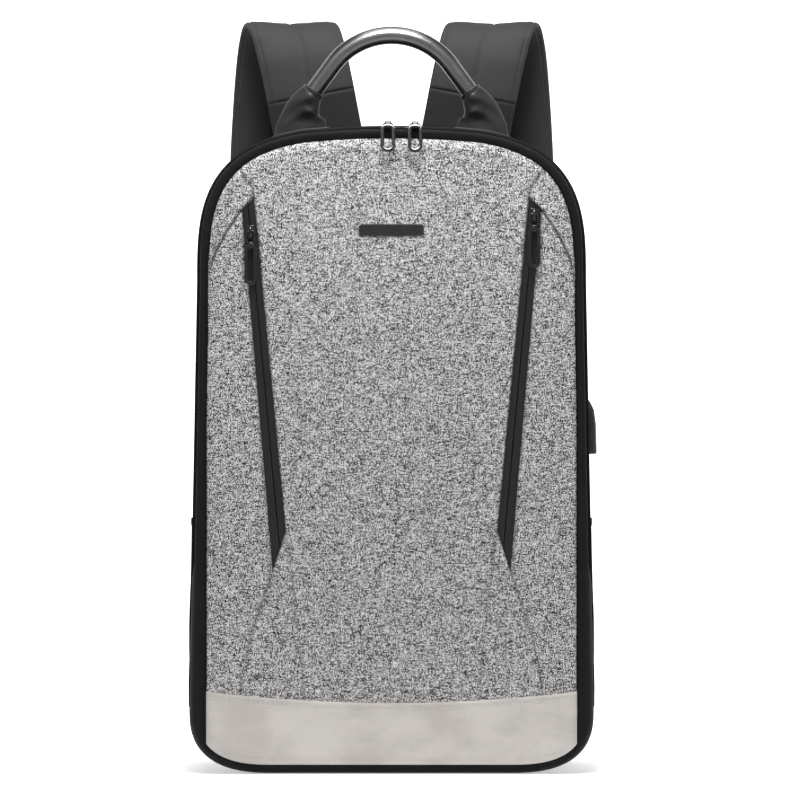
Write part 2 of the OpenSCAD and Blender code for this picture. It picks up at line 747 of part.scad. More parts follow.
// The right-hand pad's middle line, from its upper end over the top and down to the buckle
pad_route = [[55, 5, 464], [60, 5, 490], [65, 8, 513], [70, 17, 529], [76, 31, 532.5],
             [80, 43, 520], [83, 49, 495], [86, 52, 450], [88, 52, 400], [92, 49, 340],
             [97, 42, 285], [101.3, 34, 240]];
// The right-hand webbing's middle line, from the buckle down to its anchor
web_route = [[103, 30, 220.6], [107, 24, 180], [115, 14, 110], [120, 8.5, 66], [121, 7, 50]];
// Outer edge of the back pads, clear of the webbing's foot
web_foot_x = web_route[len(web_route) - 1][0];
pad_out_x = web_foot_x - web_w / 2 - 10.5;
// Routes are held as distances from the middle, the back panel and the base
function lift(z) = z > 300 ? z + bag_h - 460.5 : z;
function place(p) = [p[0], back_y + p[1], lift(p[2])];
// A point of the smooth curve through a route: u runs from 0 to the number of its legs
function curve_point(route, u) =
    let (last = len(route) - 1, k = min(floor(u), last - 1), t = u - k,
         b = route[k], c = route[k + 1],
         a = k > 0 ? route[k - 1] : 2 * b - c,
         d = k < last - 1 ? route[k + 2] : 2 * c - b)
    0.5 * (2 * b + (c - a) * t + (2 * a - 5 * b + 4 * c - d) * t * t
           + (3 * b - a - 3 * c + d) * t * t * t);
function curve(route, rings) = let (placed = [for (p = route) place(p)])
    [for (k = [0:rings]) curve_point(placed, k * (len(route) - 1) / rings)];
// A flat band of the given width and thickness along a route, with eight-sided edges
module band(route, rings, width, thickness) {
    line = curve(route, rings);
    c = thickness * 0.32;
    w = width / 2;
    t = thickness / 2;
    profile = [[w, -t + c], [w, t - c], [w - c, t], [-w + c, t],
               [-w, t - c], [-w, -t + c], [-w + c, -t], [w - c, -t]];
    n = len(profile);
    verts = [for (k = [0:rings])
        let (d0 = line[min(rings, k + 1)] - line[max(0, k - 1)], d = d0 / norm(d0),
             side0 = [1, 0, 0] - d[0] * d, side = side0 / norm(side0), up = cross(d, side))
        for (p = profile) line[k] + p[0] * side + p[1] * up];
    quads = [for (k = [0:rings - 1]) for (j = [0:n - 1])
        [k * n + j, (k + 1) * n + j, (k + 1) * n + (j + 1) % n, k * n + (j + 1) % n]];
    polyhedron(verts, concat(quads, [[for (j = [0:n - 1]) j]],
                             [[for (j = [n - 1:-1:0]) rings * n + j]]), convexity = 6);
}
module shoulder_pad(side) {
    color([0.22, 0.22, 0.23])
    on_side(side) band(pad_route, 40, strap_w, strap_t);
}
module strap_webbing(side) {
    color([0.08, 0.08, 0.085])
    on_side(side) band(web_route, 12, web_w, web_t);
}
lock_x = 102;
lock_z = 230;
module ladder_lock(side) {
    half_w = web_w / 2 + 4;
    half_h = 9;
    color([0.05, 0.05, 0.055])
    on_side(side) translate([lock_x, back_y + 32, lift(lock_z)]) rotate([-9, -5, 0])
        difference() {
            rounded_plate(-half_w, half_w, -half_h, half_h, 3, -2, 2);
            for (z = [-4.2, 4.2]) box([-web_w / 2 - 0.5, -3, z - 2.3], [web_w / 2 + 0.5, 3, z + 2.3]);
        }
}
// Lean of a strap's upper end, seen from the front
pad_lean = atan((pad_route[1][0] - pad_route[0][0]) / (pad_route[1][2] - pad_route[0][2]));
base_l = 38;
base_gap = 1.1;
module strap_base(side) {
    color([0.05, 0.05, 0.055])
    on_side(side) plate(back_y + seam_gap, back_y + seam_gap + strap_t)
        translate([pad_route[0][0], lift(pad_route[0][2])]) rotate(-pad_lean)
        translate([-strap_w / 2, -base_l]) square([strap_w, base_l - base_gap]);
}
// Wing that holds the foot of the webbing, as wide as the webbing at its top
module strap_anchor(side) {
    anchor_t = 7;
    low_z = 22;
    top_z = 48.6;
    color([0.05, 0.05, 0.055])
    on_side(side) plate(back_y + seam_gap, back_y + seam_gap + anchor_t)
        polygon([[web_foot_x - 21, low_z], [web_foot_x + 11, low_z],
                 [web_foot_x + web_w / 2, top_z], [web_foot_x - web_w / 2, top_z]]);
}

back_panel();
top_gusset();
side_gusset(-1);  // side_gusset_left
side_gusset(1);  // side_gusset_right
base_panel();
front_lower_panel();
front_lower_wall();
leather_trim();
front_cover_panel();
front_cover_wall();
pocket_lining();
pocket_rim();
pocket_seam();
badge_plate();
main_zip_tape_rear();
main_zip_tape_front();
main_zip_coil_rear();
main_zip_coil_front();
main_slider_at(-1);  // main_slider_left
main_slider_at(1);  // main_slider_right
main_pull_at(-1);  // main_pull_left
main_pull_at(1);  // main_pull_right
pocket_tape(-1);  // pocket_zip_tape_left
pocket_tape(1);  // pocket_zip_tape_right
pocket_coil(-1);  // pocket_zip_coil_left
pocket_coil(1);  // pocket_zip_coil_right
pocket_slider(-1, left_slider_z);  // pocket_slider_left
pocket_slider(1, right_slider_z);  // pocket_slider_right
pocket_pull(-1, left_slider_z);  // pocket_pull_left
pocket_pull(1, right_slider_z);  // pocket_pull_right
side_pocket(-1);  // side_pocket_left
side_pocket(1);  // side_pocket_right
pocket_binding(-1);  // pocket_binding_left
pocket_binding(1);  // pocket_binding_right
port_housing();
port_socket();
port_tongue();
handle_tube();
handle_tab(-1);  // handle_tab_left
handle_tab(1);  // handle_tab_right
handle_patch(-1);  // handle_patch_left
handle_patch(1);  // handle_patch_right
laptop_divider();
laptop_hold_strap();
back_pad(-1);  // back_pad_left
back_pad(1);  // back_pad_right
strap_base(-1);  // strap_base_left
strap_base(1);  // strap_base_right
shoulder_pad(-1);  // shoulder_pad_left
shoulder_pad(1);  // shoulder_pad_right
strap_webbing(-1);  // strap_webbing_left
strap_webbing(1);  // strap_webbing_right
ladder_lock(-1);  // ladder_lock_left
ladder_lock(1);  // ladder_lock_right
strap_anchor(-1);  // strap_anchor_left
strap_anchor(1);  // strap_anchor_right
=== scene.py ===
"""Looks of a slim laptop backpack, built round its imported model: every length is in metres."""

import json
import logging
import math
from dataclasses import dataclass, field
from enum import Enum
from typing import Callable, Sequence

import bmesh
import bpy
import numpy as np
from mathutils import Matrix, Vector


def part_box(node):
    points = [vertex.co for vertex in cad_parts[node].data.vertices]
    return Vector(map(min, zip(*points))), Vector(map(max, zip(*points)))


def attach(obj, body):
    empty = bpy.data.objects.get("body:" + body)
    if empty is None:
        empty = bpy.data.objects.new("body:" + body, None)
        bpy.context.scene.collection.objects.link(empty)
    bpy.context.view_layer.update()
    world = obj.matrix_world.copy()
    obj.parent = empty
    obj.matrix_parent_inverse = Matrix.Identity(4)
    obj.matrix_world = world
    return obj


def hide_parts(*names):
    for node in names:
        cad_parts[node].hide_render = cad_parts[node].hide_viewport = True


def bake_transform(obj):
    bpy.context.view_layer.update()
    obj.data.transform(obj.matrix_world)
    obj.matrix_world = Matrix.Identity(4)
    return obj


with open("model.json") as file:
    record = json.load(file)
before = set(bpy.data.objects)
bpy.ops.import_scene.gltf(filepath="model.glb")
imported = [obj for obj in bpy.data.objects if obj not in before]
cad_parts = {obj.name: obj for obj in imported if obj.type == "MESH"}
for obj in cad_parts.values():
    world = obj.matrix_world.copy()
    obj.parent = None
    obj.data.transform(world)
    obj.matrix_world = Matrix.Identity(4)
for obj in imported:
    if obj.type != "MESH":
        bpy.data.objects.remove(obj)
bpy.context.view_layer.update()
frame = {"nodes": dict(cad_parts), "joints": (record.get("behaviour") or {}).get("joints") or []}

logging.basicConfig(level=logging.INFO, format="%(message)s")
LOG = logging.getLogger("backpack")
MM = 0.001
Array = np.ndarray


class Side(Enum):
    """Left or right, as seen from the front."""

    LEFT = -1
    RIGHT = 1

    @property
    def word(self) -> str:
        """The side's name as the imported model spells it."""
        return self.name.lower()


# ---- mesh helpers ----


def grid_faces(rows: int, cols: int, wrap: bool = False) -> Array:
    """Quads of a grid of rows by cols points.

    Args:
        rows: Number of points along the first parameter.
        cols: Number of points along the second parameter.
        wrap: Whether the second parameter closes on itself.

    Returns:
        One row of four point indices for each quad.
    """
    i, j = np.meshgrid(np.arange(rows - 1), np.arange(cols if wrap else cols - 1), indexing="ij")
    k = (j + 1) % cols
    quads = np.stack([i * cols + j, (i + 1) * cols + j, (i + 1) * cols + k, i * cols + k], -1)
    return quads.reshape(-1, 4)


def make_piece(name: str, points: Array, faces: Sequence, smooth: bool = True,
               weld: float = 0.0, outward: bool = True) -> bpy.types.Object:
    """A mesh object at the origin from points and faces.

    Args:
        name: Name of the piece.
        points: Places of the points, in metres.
        faces: Point indices of each face.
        smooth: Whether the faces are shaded smooth.
        weld: Distance under which points are merged, or zero.
        outward: Whether the faces are turned to point out of the closed shape.

    Returns:
        The new object.
    """
    mesh = bpy.data.meshes.new(name)
    mesh.from_pydata(np.asarray(points, float).reshape(-1, 3).tolist(), [],
                     [list(map(int, f)) for f in faces])
    if weld or outward:
        bm = bmesh.new()
        bm.from_mesh(mesh)
        if weld:
            bmesh.ops.remove_doubles(bm, verts=bm.verts, dist=weld)
        if outward:
            bmesh.ops.recalc_face_normals(bm, faces=bm.faces)
        bm.to_mesh(mesh)
        bm.free()
    mesh.polygons.foreach_set("use_smooth", np.full(len(mesh.polygons), smooth))
    mesh.update()
    piece = bpy.data.objects.new(name, mesh)
    bpy.context.scene.collection.objects.link(piece)
    return piece


def set_attribute(piece: bpy.types.Object, name: str, values: Array) -> None:
    """Stores one number for each point of a piece, for its material to read."""
    layer = piece.data.attributes.new(name, "FLOAT", "POINT")
    layer.data.foreach_set("value", np.asarray(values, np.float32).ravel())


def coords(piece: bpy.types.Object) -> Array:
    """Places of a piece's points as an array of rows."""
    flat = np.zeros(len(piece.data.vertices) * 3)
    piece.data.vertices.foreach_get("co", flat)
    return flat.reshape(-1, 3)


def set_coords(piece: bpy.types.Object, points: Array) -> None:
    """Moves a piece's points to new places."""
    piece.data.vertices.foreach_set("co", np.asarray(points, float).ravel())
    piece.data.update()


def add_modifier(piece: bpy.types.Object, kind: str, **settings: object) -> bpy.types.Modifier:
    """Adds a modifier and sets its values."""
    modifier = piece.modifiers.new(kind.title(), kind)
    for key, value in settings.items():
        setattr(modifier, key, value)
    return modifier


def subdivide(piece: bpy.types.Object, levels: int = 1) -> None:
    """Finishes a piece with a subdivision surface, the same in the view as in the render."""
    add_modifier(piece, "SUBSURF", levels=levels, render_levels=levels)


def apply_modifiers(piece: bpy.types.Object) -> None:
    """Replaces a piece's mesh by what its modifiers make of it."""
    graph = bpy.context.evaluated_depsgraph_get()
    shaped = bpy.data.meshes.new_from_object(piece.evaluated_get(graph))
    piece.modifiers.clear()
    piece.data = shaped


def smoothstep(x: Array, low: float, high: float) -> Array:
    """Rises smoothly from 0 at low to 1 at high: 3t^2 - 2t^3."""
    t = np.clip((np.asarray(x, float) - low) / (high - low), 0, 1)
    return t * t * (3 - 2 * t)


def spline(points: Sequence[Sequence[float]], count: int) -> Array:
    """A smooth curve through points: a uniform Catmull-Rom spline, as whole arrays.

    Args:
        points: The points to pass through.
        count: How many points to return, spread evenly over the legs.

    Returns:
        The curve's points.
    """
    p = np.asarray(points, float)
    p = np.vstack([2 * p[0] - p[1], p, 2 * p[-1] - p[-2]])
    u = np.linspace(0, len(p) - 3, count)
    k = np.minimum(u.astype(int), len(p) - 4)
    t = (u - k)[:, None]
    a, b, c, d = p[k], p[k + 1], p[k + 2], p[k + 3]
    return 0.5 * (2 * b + (c - a) * t + (2 * a - 5 * b + 4 * c - d) * t**2
                  + (3 * b - a - 3 * c + d) * t**3)


def even(line: Array, step: float) -> Array:
    """A line of points spread again at an even step along its length."""
    length = np.concatenate([[0], np.cumsum(np.linalg.norm(np.diff(line, axis=0), axis=1))])
    count = max(2, int(round(length[-1] / step)) + 1)
    at = np.linspace(0, length[-1], count)
    return np.stack([np.interp(at, length, line[:, k]) for k in range(line.shape[1])], -1)


def tangents(line: Array) -> Array:
    """Unit tangent at each point of a line."""
    d = np.gradient(line, axis=0)
    return d / np.linalg.norm(d, axis=1, keepdims=True)


def line_distance(x: Array, z: Array, corners: Sequence[Sequence[float]]) -> Array:
    """Shortest distance of each point to a line of straight legs, in X and Z."""
    p = np.stack([x, z], -1)
    best = np.full(np.shape(x), 1e9)
    for a, b in zip(np.asarray(corners[:-1], float), np.asarray(corners[1:], float)):
        t = np.clip(((p - a) @ (b - a)) / ((b - a) @ (b - a)), 0, 1)
        best = np.minimum(best, np.linalg.norm(p - a - t[..., None] * (b - a), axis=-1))
    return best


def sweep(name: str, line: Array, profile: Array, side: Array | None = None,
          closed: bool = False, caps: bool = True) -> bpy.types.Object:
    """Carries a closed profile along a line.

    Each point is line + profile_x * side + profile_y * up, where side is square to the line's
    tangent and up is their cross product.

    Args:
        name: Name of the piece.
        line: Points of the path.
        profile: Either one profile (points by 2) or one for each path point.
        side: Direction that the profile's X follows, before it is squared to the path.
        closed: Whether the path closes on itself.
        caps: Whether the ends are closed.

    Returns:
        The new piece, with a UV-like pair of attributes along (sweep_u) and round (sweep_v).
    """
    rows = len(line)
    if closed:
        d = np.roll(line, -1, 0) - np.roll(line, 1, 0)
        d /= np.linalg.norm(d, axis=1, keepdims=True)
    else:
        d = tangents(line)
    s0 = np.broadcast_to(np.array([1.0, 0, 0]) if side is None else side, line.shape)
    s = s0 - (s0 * d).sum(1, keepdims=True) * d
    s /= np.linalg.norm(s, axis=1, keepdims=True)
    up = np.cross(d, s)
    prof = np.broadcast_to(profile, (rows,) + np.shape(profile)[-2:])
    cols = prof.shape[1]
    points = line[:, None] + prof[..., :1] * s[:, None] + prof[..., 1:] * up[:, None]
    faces = grid_faces(rows, cols, True).tolist()
    if closed:
        j = np.arange(cols)
        k = (j + 1) % cols
        last = (rows - 1) * cols
        faces += np.stack([last + j, j, k, last + k], -1).tolist()
    elif caps:
        faces += [list(range(cols)), list(range(rows * cols - 1, (rows - 1) * cols - 1, -1))]
    piece = make_piece(name, points, faces)
    run = np.concatenate([[0], np.cumsum(np.linalg.norm(np.diff(line, axis=0), axis=1))])
    set_attribute(piece, "sweep_u", np.repeat(run, cols))
    set_attribute(piece, "sweep_v", np.tile(np.arange(cols) / cols, rows))
    return piece


def oval(width: float, height: float, count: int = 16, power: float = 2.0) -> Array:
    """A rounded closed profile: a superellipse of the given width and height."""
    a = np.linspace(0, 2 * math.pi, count, endpoint=False)
    c, s = np.cos(a), np.sin(a)
    return np.stack([width / 2 * np.sign(c) * abs(c) ** (2 / power),
                     height / 2 * np.sign(s) * abs(s) ** (2 / power)], -1)


def join(name: str, pieces: Sequence[bpy.types.Object]) -> bpy.types.Object:
    """Joins pieces into one, which gets the name."""
    meshes = [p.data for p in pieces]
    bm = bmesh.new()
    for mesh in meshes:
        bm.from_mesh(mesh)
    for piece in pieces:
        bpy.data.objects.remove(piece)
    mesh = bpy.data.meshes.new(name)
    bm.to_mesh(mesh)
    bm.free()
    piece = bpy.data.objects.new(name, mesh)
    bpy.context.scene.collection.objects.link(piece)
    return piece


def stitches(name: str, line: Array, normal: Array, pitch: float = 3.4 * MM,
             length: float = 2.5 * MM, width: float = 0.55 * MM) -> bpy.types.Object:
    """A row of thread stitches along a line: flat six-sided ovals, domed along their length.

    Args:
        name: Name of the piece.
        line: Points of the row.
        normal: Direction that the stitches stand up in, for each point or for all.
        pitch: Distance from one stitch to the next.
        length: Length of a stitch.
        width: Width of a stitch.

    Returns:
        One piece that holds every stitch.
    """
    at = even(line, pitch)
    d = tangents(at)
    n = np.broadcast_to(np.asarray(normal, float), line.shape)
    n = np.stack([np.interp(np.linspace(0, 1, len(at)), np.linspace(0, 1, len(n)), n[:, k])
                  for k in range(3)], -1)
    n = n - (n * d).sum(1, keepdims=True) * d
    n /= np.linalg.norm(n, axis=1, keepdims=True)
    side = np.cross(d, n)
    rings = np.linspace(-1, 1, 5)
    girth = np.sqrt(1 - 0.9 * rings**2)
    angle = np.linspace(0, 2 * math.pi, 6, endpoint=False)
    along = rings[:, None] * length / 2 + 0 * angle
    across = girth[:, None] * np.cos(angle) * width / 2
    above = girth[:, None] * np.sin(angle) * width / 2 + (0.2 - rings[:, None] ** 2 * 0.4) * width
    points = (at[:, None, None] + along[None, ..., None] * d[:, None, None]
              + across[None, ..., None] * side[:, None, None]
              + above[None, ..., None] * n[:, None, None])
    one = np.array(grid_faces(5, 6, True))
    ends = [list(range(6)), list(range(29, 23, -1))]
    start = np.arange(len(at))[:, None, None] * 30
    faces = (one[None] + start).reshape(-1, 4).tolist()
    faces += [[i + k * 30 for i in e] for k in range(len(at)) for e in ends]
    return make_piece(name, points, faces)


# ---- finishes ----


class Pattern(Enum):
    """Surface effects, each a node group with the inputs Scale and Detail."""

    MELANGE = "melange"
    WEAVE = "weave"
    NUBUCK = "nubuck"
    GRAIN = "grain"
    CELLS = "cells"
    RIBS = "ribs"
    BRUSHED = "brushed"
    MOULDED = "moulded"


class Graph:
    """Short calls for building one node group: each returns the new node's output socket."""

    def __init__(self, name: str) -> None:
        """Makes the group with its two inputs and two outputs."""
        self.tree = bpy.data.node_groups.new(name, "ShaderNodeTree")
        face = self.tree.interface
        for label, way in (("Scale", "INPUT"), ("Detail", "INPUT"), ("Tone", "OUTPUT"), ("Height", "OUTPUT")):
            face.new_socket(label, in_out=way, socket_type="NodeSocketFloat")
        self.inputs = self.tree.nodes.new("NodeGroupInput")
        self.outputs = self.tree.nodes.new("NodeGroupOutput")
        place_node = self.tree.nodes.new("ShaderNodeTexCoord")
        self.point = place_node.outputs["Object"]
        split = self.tree.nodes.new("ShaderNodeSeparateXYZ")
        self.tree.links.new(self.point, split.inputs[0])
        self.x, self.y, self.z = split.outputs
        self.scale, self.detail = self.inputs.outputs[:2]

    def feed(self, socket: bpy.types.NodeSocket, value: object) -> None:
        """Links a socket to another, or sets it to a number."""
        if isinstance(value, bpy.types.NodeSocket):
            self.tree.links.new(value, socket)
        else:
            socket.default_value = value

    def math(self, operation: str, *values: object) -> bpy.types.NodeSocket:
        """One Math node."""
        node = self.tree.nodes.new("ShaderNodeMath")
        node.operation = operation
        for k, value in enumerate(values):
            self.feed(node.inputs[k], value)
        return node.outputs[0]

    def mix(self, share: object, a: object, b: object) -> bpy.types.NodeSocket:
        """Mixes two numbers by a share: a + share * (b - a)."""
        return self.math("MULTIPLY_ADD", share, self.math("SUBTRACT", b, a), a)

    def vector(self, x: object, y: object, z: object) -> bpy.types.NodeSocket:
        """Joins three numbers into a vector."""
        node = self.tree.nodes.new("ShaderNodeCombineXYZ")
        for socket, value in zip(node.inputs, (x, y, z)):
            self.feed(socket, value)
        return node.outputs[0]

    def noise(self, vector: object, scale: object, detail: float = 2.0, rough: float = 0.5
              ) -> bpy.types.NodeSocket:
        """One Noise Texture node, as a number from 0 to 1."""
        node = self.tree.nodes.new("ShaderNodeTexNoise")
        self.feed(node.inputs["Vector"], vector)
        self.feed(node.inputs["Scale"], scale)
        node.inputs["Detail"].default_value = detail
        node.inputs["Roughness"].default_value = rough
        return node.outputs["Fac"]

    def ramp(self, value: object, low: float, high: float) -> bpy.types.NodeSocket:
        """Maps low to 0 and high to 1, smoothly and held within them."""
        node = self.tree.nodes.new("ShaderNodeMapRange")
        node.interpolation_type = "SMOOTHSTEP"
        self.feed(node.inputs["Value"], value)
        node.inputs["From Min"].default_value = low
        node.inputs["From Max"].default_value = high
        return node.outputs[0]

    def done(self, tone: object, height: object) -> bpy.types.NodeTree:
        """Links the two outputs and returns the group."""
        self.feed(self.outputs.inputs["Tone"], tone)
        self.feed(self.outputs.inputs["Height"], height)
        return self.tree


def threads(graph: Graph, along: object, across: object) -> tuple:
    """A plain weave of two sets of threads.

    Thread numbers are the whole parts of the scaled places; the thread on top alternates like a
    chessboard, and each rises as the sine of the fraction across it.

    Args:
        graph: The group to build in.
        along: Place along the warp.
        across: Place across the warp.

    Returns:
        Warp number, weft number, which one is on top, and the height.
    """
    u, v = graph.math("MULTIPLY", across, graph.scale), graph.math("MULTIPLY", along, graph.scale)
    warp, weft = graph.math("FLOOR", u), graph.math("FLOOR", v)
    top = graph.math("PINGPONG", graph.math("ADD", warp, weft), 1.0)
    rise_u = graph.math("SINE", graph.math("MULTIPLY", graph.math("FRACT", u), math.pi))
    rise_v = graph.math("SINE", graph.math("MULTIPLY", graph.math("FRACT", v), math.pi))
    return warp, weft, top, graph.mix(top, rise_u, rise_v)


def melange_group() -> bpy.types.NodeTree:
    """Flecked yarn: each thread is tinted by noise stretched along it, with longer slubs, and darkened by
    painted shade where the threads dip.
    """
    g = Graph("melange")
    warp, weft, top, height = threads(g, g.z, g.x)

    def yarn_noise(thread: object, apart: float, along: object, per_metre: float, layer: float
                   ) -> bpy.types.NodeSocket:
        """Noise along a thread, which differs from one thread to the next."""
        across = g.math("MULTIPLY", thread, apart)
        return g.noise(g.vector(across, g.math("MULTIPLY", along, per_metre), layer), 1.0, 2, 0.6)

    fine_warp = yarn_noise(warp, 3.7, g.z, 720, 0.0)
    fine_weft = yarn_noise(weft, 4.1, g.x, 820, 7.0)
    slub = yarn_noise(warp, 2.3, g.z, 210, 3.0)
    cross = yarn_noise(weft, 2.9, g.x, 160, 13.0)
    yarn = g.mix(top, g.mix(0.4, fine_warp, slub), g.mix(0.45, fine_weft, cross))
    # Painted shade: the tone falls to 55% where the threads dip, darkening the gaps of the weave.
    tone = g.math("MULTIPLY", g.ramp(yarn, 0.42, 0.60), g.mix(0.45, 1.0, height))
    return g.done(g.mix(g.detail, 0.5, tone), height)


def weave_group() -> bpy.types.NodeTree:
    """Plain nylon: an even weave with a faint long-range unevenness, and painted shade in the dips between
    threads.
    """
    g = Graph("weave")
    flat = g.math("ADD", g.x, g.y)
    warp, weft, _, height = threads(g, g.z, flat)
    patch = g.noise(g.point, 30.0, 3, 0.6)
    thread = g.noise(g.vector(warp, weft, 0.0), 0.7, 1, 0.5)
    # Painted shade: half of the thread tone follows the threads' height, so the dips between them are darker.
    return g.done(g.mix(g.detail, patch, g.mix(0.5, thread, height)), height)


def nubuck_group() -> bpy.types.NodeTree:
    """Brushed leather: cloudy patches, short nap and faint pores."""
    g = Graph("nubuck")
    cloud = g.noise(g.vector(g.x, g.y, g.math("MULTIPLY", g.z, 1.7)), g.scale, 5, 0.62)
    nap = g.noise(g.point, 2600.0, 2, 0.7)
    pores = g.noise(g.point, 900.0, 2, 0.5)
    tone = g.mix(g.detail, g.ramp(cloud, 0.34, 0.66), nap)
    return g.done(tone, g.mix(0.6, nap, pores))


def grain_group() -> bpy.types.NodeTree:
    """Coated cloth: small pebbles between creases, duller in broad patches."""
    g = Graph("grain")
    cells = g.tree.nodes.new("ShaderNodeTexVoronoi")
    cells.feature = "SMOOTH_F1"
    g.feed(cells.inputs["Vector"], g.point)
    g.feed(cells.inputs["Scale"], g.scale)
    patch = g.noise(g.point, 45.0, 4, 0.6)
    creases = g.ramp(g.math("ABSOLUTE", g.math("SUBTRACT", g.noise(g.point, 60.0, 3, 0.6), 0.5)), 0.0, 0.05)
    pebble = g.math("SUBTRACT", 1.0, cells.outputs["Distance"])
    return g.done(g.mix(g.detail, patch, pebble), g.mix(0.25, pebble, creases))


def cells_group() -> bpy.types.NodeTree:
    """Spacer mesh: rows of round holes, every other row set half a step aside."""
    g = Graph("cells")
    u, v = g.math("MULTIPLY", g.x, g.scale), g.math("MULTIPLY", g.z, g.math("MULTIPLY", g.scale, 1.15))
    row = g.math("PINGPONG", g.math("FLOOR", v), 1.0)
    a = g.math("SUBTRACT", g.math("FRACT", g.math("ADD", u, g.math("MULTIPLY", row, 0.5))), 0.5)
    b = g.math("SUBTRACT", g.math("FRACT", v), 0.5)
    radius = g.math("SQRT", g.math("ADD", g.math("MULTIPLY", a, a), g.math("MULTIPLY", b, b)))
    hole = g.ramp(radius, 0.18, 0.36)
    return g.done(g.mix(g.detail, hole, g.noise(g.point, 500.0, 2, 0.6)), hole)


def ribs_group() -> bpy.types.NodeTree:
    """Webbing: ribs across the band with fine yarns along it, and painted shade in the grooves between ribs.
    """
    g = Graph("ribs")
    v = g.math("MULTIPLY", g.z, g.scale)
    rib = g.math("ABSOLUTE", g.math("SINE", g.math("MULTIPLY", v, math.pi)))
    yarn = g.math("ABSOLUTE", g.math("SINE", g.math("MULTIPLY", g.x, 2600.0)))
    # Painted shade: the tone follows the ribs' height, darker in the grooves between them.
    tone = g.mix(g.detail, rib, g.noise(g.point, 400.0, 2, 0.6))
    return g.done(tone, g.mix(0.35, rib, yarn))


def brushed_group() -> bpy.types.NodeTree:
    """Satin metal: fine streaks along the tube and soft smudges."""
    g = Graph("brushed")
    angle = g.math("ARCTAN2", g.x, g.math("SUBTRACT", g.z, 0.473))
    out = g.math("SQRT", g.math("ADD", g.math("MULTIPLY", g.x, g.x),
                 g.math("POWER", g.math("SUBTRACT", g.z, 0.473), 2.0)))
    streak = g.noise(g.vector(g.math("MULTIPLY", angle, 2.0), g.math("MULTIPLY", out, g.scale),
                              g.math("MULTIPLY", g.y, g.scale)), 1.0, 3, 0.6)
    smudge = g.noise(g.point, 60.0, 3, 0.6)
    return g.done(g.mix(g.detail, smudge, streak), streak)


def moulded_group() -> bpy.types.NodeTree:
    """Moulded or enamelled surface: a faint orange peel and handled patches."""
    g = Graph("moulded")
    peel = g.noise(g.point, g.scale, 2, 0.5)
    wear = g.noise(g.point, 120.0, 4, 0.65)
    return g.done(g.mix(g.detail, peel, wear), peel)


GROUP_MAKERS: dict[Pattern, Callable[[], bpy.types.NodeTree]] = {
    Pattern.MELANGE: melange_group, Pattern.WEAVE: weave_group, Pattern.NUBUCK: nubuck_group,
    Pattern.GRAIN: grain_group, Pattern.CELLS: cells_group, Pattern.RIBS: ribs_group,
    Pattern.BRUSHED: brushed_group, Pattern.MOULDED: moulded_group}
GROUPS: dict[Pattern, bpy.types.NodeTree] = {}


@dataclass(frozen=True)
class Finish:
    """One material: two tints mixed by its pattern, with its gloss, sheen and relief."""

    name: str
    pattern: Pattern
    dark: tuple[float, float, float]
    light: tuple[float, float, float]
    scale: float
    detail: float = 0.5
    rough: tuple[float, float] = (0.6, 0.8)
    metallic: float = 0.0
    sheen: float = 0.0
    coat: float = 0.0
    specular: float = 0.5
    bump: float = 0.3
    relief: float = 0.2 * MM
    # The next two fields name a point attribute and the tint that it mixes in: painted shade along the seams
    # on the front skin, the hem band's own tone on the side pockets.
    seam: str = ""
    seam_tint: tuple[float, float, float] = (0.03, 0.03, 0.03)

    def material(self) -> bpy.types.Material:
        """The material, made the first time that it is asked for."""
        found = bpy.data.materials.get(f"bp_{self.name}")
        if found:
            return found
        material = bpy.data.materials.new(f"bp_{self.name}")
        material.use_nodes = True
        tree = material.node_tree
        shader = tree.nodes["Principled BSDF"]
        if self.pattern not in GROUPS:
            GROUPS[self.pattern] = GROUP_MAKERS[self.pattern]()
        group = tree.nodes.new("ShaderNodeGroup")
        group.node_tree = GROUPS[self.pattern]
        group.inputs["Scale"].default_value = self.scale
        group.inputs["Detail"].default_value = self.detail
        tint = tree.nodes.new("ShaderNodeMix")
        tint.data_type = "RGBA"
        tint.inputs[6].default_value = (*self.dark, 1)
        tint.inputs[7].default_value = (*self.light, 1)
        tree.links.new(group.outputs["Tone"], tint.inputs[0])
        colour = tint.outputs[2]
        # Mixes a second tint in by the named point attribute: on the front skin this is painted shade along
        # the sewn grooves and the slots' edges; on the side pockets it is the hem band's own tone.
        if self.seam:
            mask = tree.nodes.new("ShaderNodeAttribute")
            mask.attribute_name = self.seam
            over = tree.nodes.new("ShaderNodeMix")
            over.data_type = "RGBA"
            over.inputs[7].default_value = (*self.seam_tint, 1)
            tree.links.new(mask.outputs["Fac"], over.inputs[0])
            tree.links.new(colour, over.inputs[6])
            colour = over.outputs[2]
        tree.links.new(colour, shader.inputs["Base Color"])
        gloss = tree.nodes.new("ShaderNodeMapRange")
        gloss.inputs["To Min"].default_value, gloss.inputs["To Max"].default_value = self.rough
        tree.links.new(group.outputs["Tone"], gloss.inputs["Value"])
        tree.links.new(gloss.outputs[0], shader.inputs["Roughness"])
        bump = tree.nodes.new("ShaderNodeBump")
        bump.inputs["Strength"].default_value = self.bump
        bump.inputs["Distance"].default_value = self.relief
        tree.links.new(group.outputs["Height"], bump.inputs["Height"])
        tree.links.new(bump.outputs[0], shader.inputs["Normal"])
        shader.inputs["Metallic"].default_value = self.metallic
        shader.inputs["Sheen Weight"].default_value = self.sheen
        shader.inputs["Specular IOR Level"].default_value = self.specular
        shader.inputs["Coat Weight"].default_value = self.coat
        shader.inputs["Coat Roughness"].default_value = 0.08
        return material
